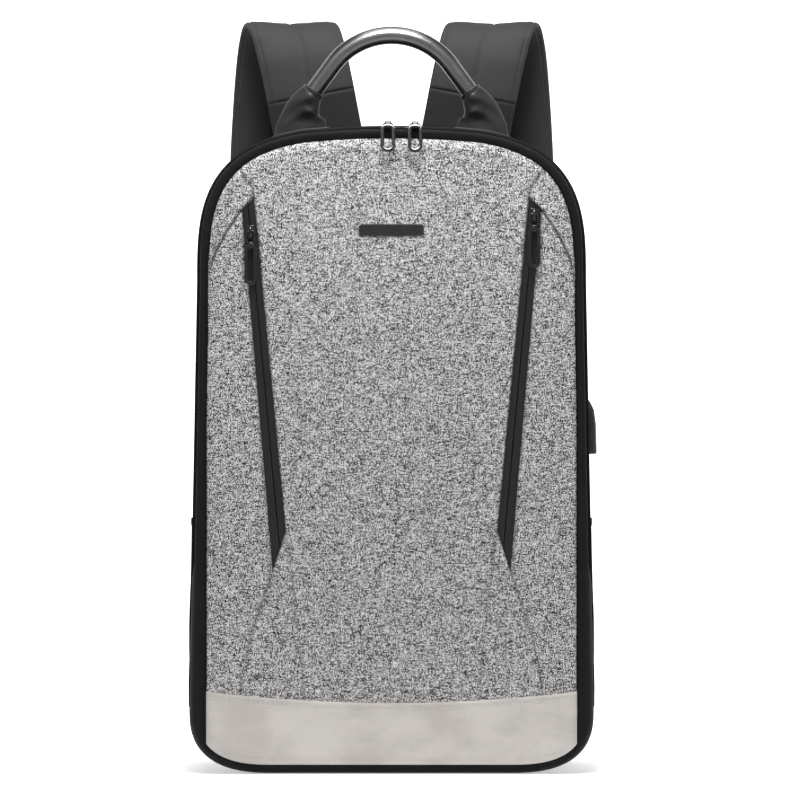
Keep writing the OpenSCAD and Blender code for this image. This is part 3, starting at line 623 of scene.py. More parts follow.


# Its seam attribute darkens the cloth to a dark grey as painted shade in the sewn grooves and along the
# slots' edges.
FABRIC_FRONT = Finish(
    "fabric_front", Pattern.MELANGE, (0.012, 0.011, 0.012), (0.70, 0.69, 0.685), 1250, 1.0, (0.8, 0.9),
    specular=0.15, bump=0.5, relief=0.15 * MM, seam="seam", seam_tint=(0.05, 0.05, 0.05))
NYLON = Finish(
    "nylon", Pattern.WEAVE, (0.005, 0.005, 0.006), (0.012, 0.012, 0.013), 2400, 0.6, (0.55, 0.7),
    specular=0.07, bump=0.35, relief=0.1 * MM)
NYLON_HEMMED = Finish(
    "nylon_hemmed", Pattern.WEAVE, (0.005, 0.005, 0.006), (0.012, 0.012, 0.013), 2400, 0.6, (0.55, 0.7),
    specular=0.07, bump=0.35, relief=0.1 * MM, seam="hem", seam_tint=(0.03, 0.03, 0.032))
BACK_CLOTH = Finish(
    "back_cloth", Pattern.WEAVE, (0.012, 0.012, 0.013), (0.028, 0.028, 0.03), 1600, 0.6, (0.7, 0.85),
    specular=0.12, bump=0.4, relief=0.15 * MM)
AIR_MESH = Finish(
    "air_mesh", Pattern.CELLS, (0.006, 0.006, 0.007), (0.045, 0.045, 0.048), 420, 0.25, (0.75, 0.9),
    specular=0.12, bump=0.9, relief=0.9 * MM)
NUBUCK = Finish(
    "nubuck", Pattern.NUBUCK, (0.38, 0.355, 0.335), (0.50, 0.475, 0.45), 26, 0.3, (0.75, 0.92),
    specular=0.2, bump=0.35, relief=0.15 * MM)
COATED = Finish(
    "coated_cloth", Pattern.GRAIN, (0.006, 0.006, 0.007), (0.02, 0.02, 0.021), 900, 0.4, (0.32, 0.5),
    specular=0.4, bump=0.3, relief=0.15 * MM)
STRAP_CLOTH = Finish(
    "strap_cloth", Pattern.WEAVE, (0.016, 0.016, 0.017), (0.028, 0.028, 0.029), 2000, 0.6, (0.6, 0.75),
    specular=0.25, bump=0.35, relief=0.1 * MM)
STRAP_PATCH = Finish(
    "strap_patch", Pattern.WEAVE, (0.012, 0.012, 0.013), (0.022, 0.022, 0.023), 2000, 0.6, (0.55, 0.7),
    specular=0.12, bump=0.35, relief=0.1 * MM)
LINING = Finish(
    "lining_cloth", Pattern.WEAVE, (0.05, 0.05, 0.055), (0.11, 0.11, 0.12), 1400, 0.6, (0.6, 0.8),
    specular=0.12, bump=0.3, relief=0.1 * MM)
WEBBING = Finish(
    "webbing_ribs", Pattern.RIBS, (0.008, 0.008, 0.009), (0.035, 0.035, 0.037), 620, 0.3, (0.6, 0.8),
    specular=0.12, bump=0.8, relief=0.4 * MM)
TAPE = Finish(
    "zip_tape_cloth", Pattern.WEAVE, (0.008, 0.008, 0.009), (0.016, 0.016, 0.017), 3000, 0.5, (0.38, 0.5),
    specular=0.2, bump=0.2, relief=0.08 * MM)
COIL = Finish(
    "zip_coil_nylon", Pattern.MOULDED, (0.008, 0.008, 0.009), (0.02, 0.02, 0.022), 900, 0.4, (0.3, 0.45),
    bump=0.1)
ENAMEL = Finish(
    "enamel", Pattern.MOULDED, (0.003, 0.003, 0.004), (0.008, 0.008, 0.009), 700, 0.5, (0.1, 0.2),
    specular=0.4, coat=0.3, bump=0.06, relief=0.05 * MM)
BADGE = Finish(
    "badge_enamel", Pattern.MOULDED, (0.02, 0.02, 0.021), (0.05, 0.05, 0.052), 900, 0.5, (0.25, 0.4),
    metallic=0.7, bump=0.08, relief=0.05 * MM)
ALUMINIUM = Finish(
    "satin_aluminium", Pattern.BRUSHED, (0.13, 0.13, 0.135), (0.24, 0.24, 0.245), 2600, 0.6, (0.22, 0.34),
    metallic=1.0, bump=0.12, relief=0.04 * MM)
PLASTIC = Finish(
    "black_plastic", Pattern.MOULDED, (0.010, 0.010, 0.011), (0.022, 0.022, 0.023), 1400, 0.4, (0.4, 0.55),
    bump=0.2, relief=0.06 * MM)
STEEL = Finish(
    "socket_steel_plate", Pattern.MOULDED, (0.45, 0.45, 0.46), (0.62, 0.62, 0.63), 1200, 0.5, (0.2, 0.35),
    metallic=1.0, bump=0.05, relief=0.03 * MM)
TONGUE = Finish(
    "tongue_plastic_white", Pattern.MOULDED, (0.62, 0.62, 0.60), (0.75, 0.75, 0.73), 1500, 0.4, (0.4, 0.5),
    bump=0.05, relief=0.03 * MM)
THREAD_PALE = Finish(
    "thread_pale", Pattern.WEAVE, (0.42, 0.41, 0.39), (0.62, 0.60, 0.58), 3600, 0.6, (0.6, 0.8), bump=0.3,
    relief=0.1 * MM)
THREAD_DARK = Finish(
    "thread_dark", Pattern.WEAVE, (0.012, 0.012, 0.013), (0.035, 0.035, 0.037), 3600, 0.6, (0.5, 0.7),
    bump=0.3, relief=0.1 * MM)


def paint(piece: bpy.types.Object, finish: Finish) -> None:
    """Gives every face of a piece one finish."""
    piece.data.materials.clear()
    piece.data.materials.append(finish.material())


def dress(piece: bpy.types.Object, finish: Finish, nodes: Sequence[str],
          body: str | None = None) -> None:
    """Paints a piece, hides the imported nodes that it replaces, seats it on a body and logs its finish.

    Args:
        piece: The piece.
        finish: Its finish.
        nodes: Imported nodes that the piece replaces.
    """
    paint(piece, finish)
    if nodes:
        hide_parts(*nodes)
    if body:
        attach(piece, body)
    LOG.info("%s: %d points, %s", piece.name, len(piece.data.vertices), finish.name)


# ---- outline of the bag ----


@dataclass
class Outline:
    """The bag's outline seen from the front: straight sides, squarish shoulders, arched crown."""

    height: float = 460.5 * MM
    half_w: float = 144 * MM
    shoulder_half_w: float = 138.3 * MM
    shoulder_h: float = 110.5 * MM
    shoulder_power: float = 3.15
    crown_r: float = 661 * MM
    crown_half: float = 64 * MM
    base_flat: float = 84 * MM
    corner_h: float = 45 * MM
    base_power: float = 2.6
    taper_from: float = 60 * MM
    step: float = 2 * MM
    ring: Array = field(init=False)

    def __post_init__(self) -> None:
        """Works the closed ring of points out once, from the base's middle, anticlockwise."""
        a = np.linspace(math.pi / 2, 0, 60)
        corner = np.stack([
            self.base_flat + (self.half_w - self.base_flat) * np.cos(a) ** (2 / self.base_power),
            self.corner_h * (1 - np.sin(a) ** (2 / self.base_power))], -1)
        shoulder_z = self.height - self.shoulder_h
        end = math.acos((self.crown_half / self.shoulder_half_w) ** (self.shoulder_power / 2))
        b = np.linspace(0, end, 90)
        shoulder = np.stack([
            self.shoulder_half_w * np.cos(b) ** (2 / self.shoulder_power),
            shoulder_z + self.shoulder_h * np.sin(b) ** (2 / self.shoulder_power)], -1)
        x = np.linspace(self.crown_half, 0, 40)[1:]
        crown = np.stack([x, self.height - self.crown_r + np.sqrt(self.crown_r**2 - x**2)], -1)
        side = np.array([[self.half_w, self.taper_from]])
        right = even(np.vstack([[[0, 0]], corner, side, shoulder, crown]), self.step)
        self.ring = np.vstack([right, right[-2:0:-1] * [-1, 1]])

    def normals(self) -> Array:
        """Unit normals of the ring, pointing out of the bag, smoothed over its corners."""
        d = np.roll(self.ring, -1, 0) - np.roll(self.ring, 1, 0)
        n = np.stack([d[:, 1], -d[:, 0]], -1)
        n /= np.linalg.norm(n, axis=1, keepdims=True)
        for _ in range(4):
            n = (np.roll(n, 1, 0) + n + np.roll(n, -1, 0)) / 3
        return n / np.linalg.norm(n, axis=1, keepdims=True)

    def inset(self, distance: Array | float) -> Array:
        """The ring moved into the bag by a distance, one for all points or one for each."""
        return self.ring - np.reshape(distance, (-1, 1)) * self.normals()

    def edges(self, x: Array, distance: Array | float, limit: float) -> tuple[Array, Array]:
        """Lowest and highest Z of the inset outline at each X.

        Args:
            x: Distances from the middle.
            distance: How far the outline is moved in.
            limit: Half-width at which the outline is cut off by a straight side.

        Returns:
            The lower and the upper Z at each X.
        """
        ring = self.inset(distance)
        half = ring[: len(ring) // 2 + 1]
        widest = int(np.argmax(half[:, 0]))
        x = np.minimum(np.abs(x), min(limit, half[widest, 0]) - 1e-6)
        low = np.interp(x, half[: widest + 1, 0], half[: widest + 1, 1])
        high = np.interp(x, half[widest:, 0][::-1], half[widest:, 1][::-1])
        return low, high


OUTLINE = Outline()


# ---- the front skin ----


@dataclass
class FrontSkin:
    """The grey fabric front: three sewn panels with two slanted slots, crowned in the middle."""

    front_y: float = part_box("front_cover_panel")[0].y
    half_w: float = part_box("front_cover_panel")[1].x
    fold_z: float = 138 * MM
    inset_top: float = 9 * MM
    inset_base: float = 7 * MM
    crown: float = 3.2 * MM
    roll: float = 6 * MM
    slot_top: tuple[float, float] = (97.5 * MM, 409 * MM)
    slot_outer: tuple[float, float] = (106 * MM, 401 * MM)
    slot_inner: tuple[float, float] = (75 * MM, 173 * MM)
    slot_tip: tuple[float, float] = (84.3 * MM, 144.5 * MM)
    shoulder_seam: tuple = ((97.5 * MM, 409 * MM), (98.5 * MM, 416 * MM), (112.5 * MM, 436 * MM))
    outer_seam: tuple = ((106 * MM, 401 * MM), (117 * MM, 385 * MM), (124.4 * MM, 370.6 * MM),
                         (129.6 * MM, 357 * MM), (132 * MM, 345 * MM))
    outer_dart: tuple = ((84.3 * MM, 144.5 * MM), (100 * MM, 98 * MM), (107 * MM, 62 * MM),
                         (109 * MM, 46 * MM))
    inner_dart: tuple = ((75 * MM, 173 * MM), (69 * MM, 129 * MM), (63.5 * MM, 73 * MM),
                         (62 * MM, 48 * MM))
    rows: int = 330
    middle_cols: int = 64
    slot_cols: int = 6
    side_cols: int = 30

    def edge_inset(self, z: Array) -> Array:
        """Distance of the skin's edge from the bag's outline: a little less near the base."""
        share = smoothstep(z, self.fold_z - 40 * MM, self.fold_z + 40 * MM)
        return self.inset_base + (self.inset_top - self.inset_base) * share

    def limits(self, x: Array) -> tuple[Array, Array]:
        """Lowest and highest Z of the skin at each X."""
        low = OUTLINE.edges(x, self.inset_base, self.half_w)[0]
        high = OUTLINE.edges(x, self.inset_top, self.half_w)[1]
        return low, high

    def surface_y(self, x: Array, z: Array) -> Array:
        """Depth of the skin's face.

        The middle panel stands proud by crown * (1 - (x/w)^2)^2 between the zips, fading
        towards the base and the crown, and the rim rolls back on a quarter circle.

        Args:
            x: Distances from the middle.
            z: Heights.

        Returns:
            The Y of the face at each point.
        """
        across = np.clip(1 - (x / (84 * MM)) ** 2, 0, 1) ** 2
        along = smoothstep(z, 52 * MM, 160 * MM) * (1 - smoothstep(z, 330 * MM, 440 * MM))
        low, high = self.limits(x)
        side = np.clip(self.half_w - np.abs(x), 0, 1)
        rim = np.minimum(np.minimum(z - low, high - z), side)
        t = 1 - np.clip(rim / self.roll, 0, 1)
        back = self.roll * 0.8 * (1 - np.sqrt(np.clip(1 - t**2, 0, 1)))
        puff = 0.5 * MM * (1 - smoothstep(rim, 2 * MM, 16 * MM))
        return self.front_y - self.crown * across * along + back - puff * (1 - t)

    def seam_depth(self, x: Array, z: Array) -> tuple[Array, Array]:
        """Depth of the sewn grooves, and how strongly painted shade darkens the cloth along each seam and
        slot edge.

        A groove is depth * exp(-(d/width)^2) of the distance d to its line, with a soft swell
        of the cloth beside it.

        Args:
            x: Distances from the middle.
            z: Heights.

        Returns:
            Depth to add to Y, and a mask of painted shade from 0 to 1.
        """
        ax = np.abs(x)
        depth = np.zeros_like(ax)
        mask = np.zeros_like(ax)
        kinds = ((self.shoulder_seam, 1.1 * MM, 1.2 * MM, 0.95), (self.outer_seam, 1.3 * MM, 1.2 * MM, 1.0),
                 (self.outer_dart, 0.8 * MM, 1.3 * MM, 0.55), (self.inner_dart, 0.6 * MM, 1.3 * MM, 0.45))
        for line, deep, wide, strength in kinds:
            d = line_distance(ax, z, line)
            swell = 0.35 * np.exp(-((d - 3.2 * MM) / (2.4 * MM)) ** 2)
            depth += deep * (np.exp(-(d / wide) ** 2) - swell)
            # The mask is painted shade: it darkens the cloth's colour along the groove.
            mask = np.maximum(mask, strength * np.exp(-(d / (0.9 * MM)) ** 2))
        slot = ((self.slot_top), (self.slot_inner), (self.slot_tip), (self.slot_outer), (self.slot_top))
        d = line_distance(ax, z, slot)
        depth -= 0.45 * MM * np.exp(-((d - 2 * MM) / (2 * MM)) ** 2)
        depth += 0.5 * MM * np.exp(-(d / (0.8 * MM)) ** 2)
        # Painted shade along the slots' edges as well.
        mask = np.maximum(mask, 0.5 * np.exp(-(d / (0.7 * MM)) ** 2))
        return depth, mask

    def build(self) -> bpy.types.Object:
        """Makes the skin on a grid whose columns follow the slots' edges and the darts.

        Returns:
            The skin, open at the two slots, with its edges turned in behind it.
        """
        v = np.linspace(0, 1, self.rows)[:, None]
        v = v + 0.06 * np.sin(2 * math.pi * v) / (2 * math.pi) * -1
        inner = np.array([self.slot_top, self.slot_inner, self.slot_tip])
        outer = np.array([self.slot_top, self.slot_outer, self.slot_tip])
        below = np.array([(107 * MM, 62 * MM), (109 * MM, 40 * MM), (111 * MM, 0)])
        above = np.array([(112.5 * MM, 436 * MM), (116 * MM, 460 * MM)])
        path_in = np.vstack([above[::-1], inner, [(100 * MM, 98 * MM)], below])[::-1]
        path_out = np.vstack([above[::-1], outer, [(100 * MM, 98 * MM)], below])[::-1]
        u1 = np.linspace(0, 1, self.middle_cols + 1)
        u2 = np.linspace(0, 1, self.slot_cols + 1)[1:]
        u3 = np.linspace(0, 1, self.side_cols + 1)[1:] ** 0.8
        z = np.broadcast_to(0.02 + 0.4 * v, (self.rows, len(u1) + len(u2) + len(u3))).copy()
        for _ in range(25):
            xi = np.interp(z, path_in[:, 1], path_in[:, 0])
            xo = np.interp(z, path_out[:, 1], path_out[:, 0])
            n1, n2 = len(u1), len(u1) + len(u2)
            x = np.empty_like(z)
            x[:, :n1] = xi[:, :n1] * u1
            x[:, n1:n2] = xi[:, n1:n2] + (xo - xi)[:, n1:n2] * u2
            x[:, n2:] = xo[:, n2:] + (self.half_w - xo[:, n2:]) * u3
            low, high = self.limits(x)
            z = 0.5 * z + 0.5 * (low + (high - low) * v)
        x = np.hstack([-x[:, :0:-1], x])
        z = np.hstack([z[:, :0:-1], z])
        deep = self.seam_depth(x, z)[0]
        y = self.surface_y(x, z) + deep
        rows, cols = x.shape
        faces = grid_faces(rows, cols)
        mid = np.stack([x, z], -1).reshape(-1, 2)[faces].mean(1)
        gap_in = np.interp(mid[:, 1], path_in[:, 1], path_in[:, 0])
        gap_out = np.interp(mid[:, 1], path_out[:, 1], path_out[:, 0])
        inside = (np.abs(mid[:, 0]) > gap_in) & (np.abs(mid[:, 0]) < gap_out) & (gap_out - gap_in > 0.05 * MM)
        piece = make_piece("front_skin", np.stack([x, y, z], -1), faces[~inside], weld=0.05 * MM,
                           outward=False)
        at = coords(piece)
        # The seam attribute is painted shade, which the front fabric mixes into its colour.
        set_attribute(piece, "seam", self.seam_depth(at[:, 0], at[:, 2])[1])
        if np.mean([p.normal.y for p in piece.data.polygons]) > 0:
            piece.data.flip_normals()
        return piece


# ---- the shell of the bag ----


@dataclass
class Shell:
    """Black cloth of the bag: front walls, gusset, padded back, leather trim and side pockets."""

    skin: FrontSkin
    gusset_front: float = -50 * MM
    gusset_back: float = 57.4 * MM
    back_y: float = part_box("back_panel")[1].y
    pocket_depth: float = 9 * MM
    pocket_low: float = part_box("side_pocket_right")[0].z
    pocket_top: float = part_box("side_pocket_right")[1].z
    recess_end: float = 223 * MM

    def ring_surface(self, insets: Sequence[Array | float], depths: Sequence[Array | float]) -> Array:
        """Rings of the outline, each moved in by an inset and set at a depth.

        Args:
            insets: One inset for each ring, in metres, or one for each of its points.
            depths: One Y for each ring or for each of its points.

        Returns:
            Points as rings by outline points by three.
        """
        rows = []
        for inset, depth in zip(insets, depths):
            flat = OUTLINE.inset(inset)
            rows.append(np.stack([flat[:, 0], np.broadcast_to(depth, len(flat)), flat[:, 1]], -1))
        return np.array(rows)

    def front_wall(self) -> bpy.types.Object:
        """Cloth from the skin's rim back to the zip, and below the zip's ends to the gusset.

        Its section is a soft bulge: the inset falls from the skin's rim to the outline with the
        sine of the way along it, and the depth follows the cosine.
        """
        z = OUTLINE.ring[:, 1]
        top = smoothstep(z, 134 * MM, 152 * MM)
        rim_inset = self.skin.edge_inset(z) + 0.6 * MM
        clamp = np.maximum(rim_inset, np.abs(OUTLINE.ring[:, 0]) - self.skin.half_w + 0.6 * MM)
        end_inset = 2.6 * MM * top + 0.3 * MM * (1 - top)
        end_y = self.gusset_front - 0.4 * MM - 9.7 * MM * top
        start_y = self.skin.front_y + 4.6 * MM
        insets, depths = [], []
        for t in np.linspace(0, 1, 9):
            share = math.sin(t * math.pi / 2)
            insets.append(clamp + (end_inset - clamp) * share)
            bulge = 1.6 * MM * math.sin(t * math.pi)
            depths.append(start_y - bulge + (end_y - start_y) * (1 - math.cos(t * math.pi / 2)))
        insets += [end_inset + 1.5 * MM, end_inset + 4 * MM]
        depths += [end_y + 0.1 * MM, end_y - 0.4 * MM]
        points = self.ring_surface(insets, depths)
        return make_piece("front_wall", points, grid_faces(len(insets), len(z), True), outward=False)

    def recess(self, z: Array, y: Array) -> Array:
        """Depth of the hollow behind the side pockets at each height and depth."""
        up = smoothstep(z, self.pocket_low, self.pocket_low + 7 * MM)
        up = up * (1 - smoothstep(z, self.pocket_top + 1 * MM, self.recess_end))
        middle = smoothstep(y, self.gusset_front + 1 * MM, self.gusset_front + 9 * MM)
        middle = middle * (1 - smoothstep(y, self.gusset_back - 10 * MM, self.gusset_back - 2 * MM))
        return self.pocket_depth * up * middle

    def gusset(self) -> bpy.types.Object:
        """The bag's wall all round, slightly slack between its two seams.

        Its inset is 1.1 mm times the sine of the way across, plus the hollow behind each side
        pocket, and small folds that fade in towards the seams.
        """
        z = OUTLINE.ring[:, 1]
        x = OUTLINE.ring[:, 0]
        side = smoothstep(np.abs(x), 120 * MM, 134 * MM)
        lip = self.gusset_front + 0.2 * MM
        depths = np.concatenate([[lip], np.linspace(self.gusset_front, self.gusset_back, 44)])
        insets = []
        for y in depths:
            t = (y - self.gusset_front) / (self.gusset_back - self.gusset_front)
            loose = math.sin(math.pi * np.clip(t, 0, 1)) * side
            slack = 1.0 * MM * loose
            folds = 0.35 * MM * loose * np.sin(z * 97 + 5 * t) * np.sin(z * 43 + 2)
            insets.append(slack + folds + self.recess(z, np.full_like(z, y)) * side)
        insets[0] = insets[0] + 3.6 * MM
        points = self.ring_surface(insets, depths)
        piece = make_piece("bag_gusset", points, grid_faces(len(depths), len(z), True), outward=False)
        add_modifier(piece, "SOLIDIFY", thickness=1.6 * MM, offset=-1)
        return piece

    def panel(self, name: str, limits: Callable[[Array], tuple[Array, Array]], half_w: float,
              faces_y: Callable[[Array, Array, Array], tuple[Array, Array]], cols: int = 120,
              rows: int = 180) -> bpy.types.Object:
        """A closed flat piece made on columns of X, with a face on each side.

        Args:
            name: Name of the piece.
            limits: Gives the lowest and highest Z at each X.
            half_w: Half of the piece's width.
            faces_y: Gives the front and back Y from X, Z and the distance to the rim.
            cols: Number of columns.
            rows: Number of rows.

        Returns:
            The closed piece.
        """
        u = np.linspace(-1, 1, cols)
        x = half_w * np.sin(u * math.pi / 2)[None] * np.ones((rows, 1))
        v = (1 - np.cos(np.linspace(0, math.pi, rows))) / 2
        low, high = limits(x)
        z = low + (high - low) * (0.35 * v + 0.65 * np.linspace(0, 1, rows))[:, None]
        rim = np.minimum(np.minimum(z - low, high - z), half_w - np.abs(x))
        front, back = faces_y(x, z, rim)
        n = rows * cols
        face = grid_faces(rows, cols)
        points = np.concatenate([np.stack([x, front, z], -1).reshape(-1, 3),
                                 np.stack([x, back, z], -1).reshape(-1, 3)])
        j = np.arange(cols - 1)
        i = np.arange(rows - 1)
        rims = [np.stack([j, j + 1, j + 1 + n, j + n], -1),
                np.stack([(rows - 1) * cols + j, (rows - 1) * cols + j + n,
                          (rows - 1) * cols + j + 1 + n, (rows - 1) * cols + j + 1], -1),
                np.stack([i * cols, i * cols + n, (i + 1) * cols + n, (i + 1) * cols], -1),
                np.stack([(i + 1) * cols - 1, (i + 2) * cols - 1, (i + 2) * cols - 1 + n,
                          (i + 1) * cols - 1 + n], -1)]
        return make_piece(name, points, np.vstack([face, face[:, ::-1] + n, *rims]), weld=0.02 * MM)

    def back_panel(self) -> bpy.types.Object:
        """Padded back: rounded at its rim, with a sewn channel up the middle and a sewn groove 7 mm inside
        its rim.
        """

        def limits(x: Array) -> tuple[Array, Array]:
            """Lowest and highest Z of the panel at each X."""
            return OUTLINE.edges(x, 0.2 * MM, 143.8 * MM)

        def faces_y(x: Array, z: Array, rim: Array) -> tuple[Array, Array]:
            """Front and back Y of the panel at each point."""
            t = 1 - np.clip(rim / (6 * MM), 0, 1)
            fall = 5.5 * MM * (1 - np.sqrt(np.clip(1 - t**2, 0, 1)))
            channel = 1.6 * MM * np.exp(-(x / (3 * MM)) ** 2)
            piping = 0.7 * MM * np.exp(-((rim - 7 * MM) / (1.2 * MM)) ** 2)
            return np.full_like(x, self.gusset_back - 0.1 * MM), self.back_y - fall - channel - piping

        return self.panel("back_panel_cloth", limits, 143.8 * MM, faces_y)

    def trim(self) -> bpy.types.Object:
        """Leather band over the foot of the front skin, its upper edge a shallow curve."""
        low_z, high_z = 51 * MM, 8 * MM

        def limits(x: Array) -> tuple[Array, Array]:
            """Lowest and highest Z of the panel at each X."""
            low = OUTLINE.edges(x, self.skin.inset_base - 0.3 * MM, self.skin.half_w + 0.2 * MM)[0]
            return low, low_z + high_z * (x / self.skin.half_w) ** 2

        def faces_y(x: Array, z: Array, rim: Array) -> tuple[Array, Array]:
            """Front and back Y of the panel at each point."""
            under = self.skin.surface_y(x, z)
            top = limits(x)[1] - z
            edge = np.exp(-(top / (0.5 * MM)) ** 2) * 0.6 * MM
            stitch = 0.3 * MM * np.exp(-((top - 4 * MM) / (0.9 * MM)) ** 2)
            return under - 1.1 * MM + edge + stitch, under + 0.6 * MM

        return self.panel("leather_trim_band", limits, self.skin.half_w + 0.2 * MM, faces_y, 150, 46)

    def trim_thread(self) -> bpy.types.Object:
        """Row of stitches 4 mm under the trim's upper edge."""
        x = np.linspace(-1, 1, 240) * (self.skin.half_w - 2 * MM)
        z = 47 * MM + 8 * MM * (x / self.skin.half_w) ** 2
        y = self.skin.surface_y(x, z) - 0.95 * MM
        return stitches("trim_thread", np.stack([x, y, z], -1), (0, -1, 0))

    def side_pocket(self, side: Side) -> bpy.types.Object:
        """One open side pocket: a sheet that bags out a little and is gathered at its mouth.

        It stands off the outline by 0.8 mm plus a belly of 1.6 mm times the sines of both
        parameters, with gathers that fade out under the mouth.
        """
        rows, cols = 70, 60
        v = np.linspace(0, 1, rows)[:, None]
        y = np.linspace(self.gusset_front + 0.4 * MM, self.gusset_back - 0.4 * MM, cols)[None]
        t = np.linspace(0, 1, cols)[None]
        dip = 5 * MM * np.sin(math.pi * t) * (1 - 0.3 * t)
        top = 182 * MM - dip
        z = self.pocket_low - 1 * MM + (top - self.pocket_low + 1 * MM) * v
        right = OUTLINE.ring[: len(OUTLINE.ring) // 2]
        keep = (right[:, 1] < 300 * MM) & (right[:, 0] > 100 * MM)
        x0 = np.interp(z, right[keep, 1], right[keep, 0])
        gathers = 0.55 * MM * np.sin(t * 62) * smoothstep(v, 0.72, 0.97) * np.sin(math.pi * t)
        creases = 0.3 * MM * np.sin(14 * v + 9 * t) * np.sin(math.pi * v)
        belly = 1.5 * MM * np.sin(math.pi * np.clip(v * 1.05, 0, 1)) * np.sin(math.pi * t)
        hem = 0.5 * MM * smoothstep(v, 0.955, 0.965)
        x = x0 + 0.5 * MM + belly + gathers + creases + hem
        piece = make_piece(f"side_pocket_{side.word}_cloth",
                           np.stack([x * side.value, np.broadcast_to(y, z.shape), z], -1),
                           grid_faces(rows, cols), outward=False)
        if np.mean([p.normal.x for p in piece.data.polygons]) * side.value < 0:
            piece.data.flip_normals()
        set_attribute(piece, "hem", np.repeat(smoothstep(v, 0.95, 0.965), cols))
        add_modifier(piece, "SOLIDIFY", thickness=1.1 * MM, offset=-1)
        return piece

    def build(self) -> None:
        """Makes and dresses every piece of the shell."""
        skin = self.skin.build()
        dress(skin, FABRIC_FRONT, ["front_cover_panel", "front_lower_panel"])
        add_modifier(skin, "SOLIDIFY", thickness=0.9 * MM, offset=-1)
        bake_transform(skin)
        wall = self.front_wall()
        dress(wall, NYLON, ["front_cover_wall", "front_lower_wall"])
        add_modifier(wall, "SOLIDIFY", thickness=0.8 * MM, offset=-1)
        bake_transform(wall)
        gusset = self.gusset()
        dress(gusset, NYLON,
              ["top_gusset", "side_gusset_left", "side_gusset_right", "base_panel"], "bag")
        dress(self.back_panel(), BACK_CLOTH, ["back_panel"], "bag")
        dress(self.trim(), NUBUCK, ["leather_trim"], "bag")
        dress(self.trim_thread(), THREAD_PALE, [], "bag")
        for side in Side:
            dress(self.side_pocket(side), NYLON_HEMMED,
                  [f"side_pocket_{side.word}", f"pocket_binding_{side.word}"], "bag")


# ---- inside and back ----


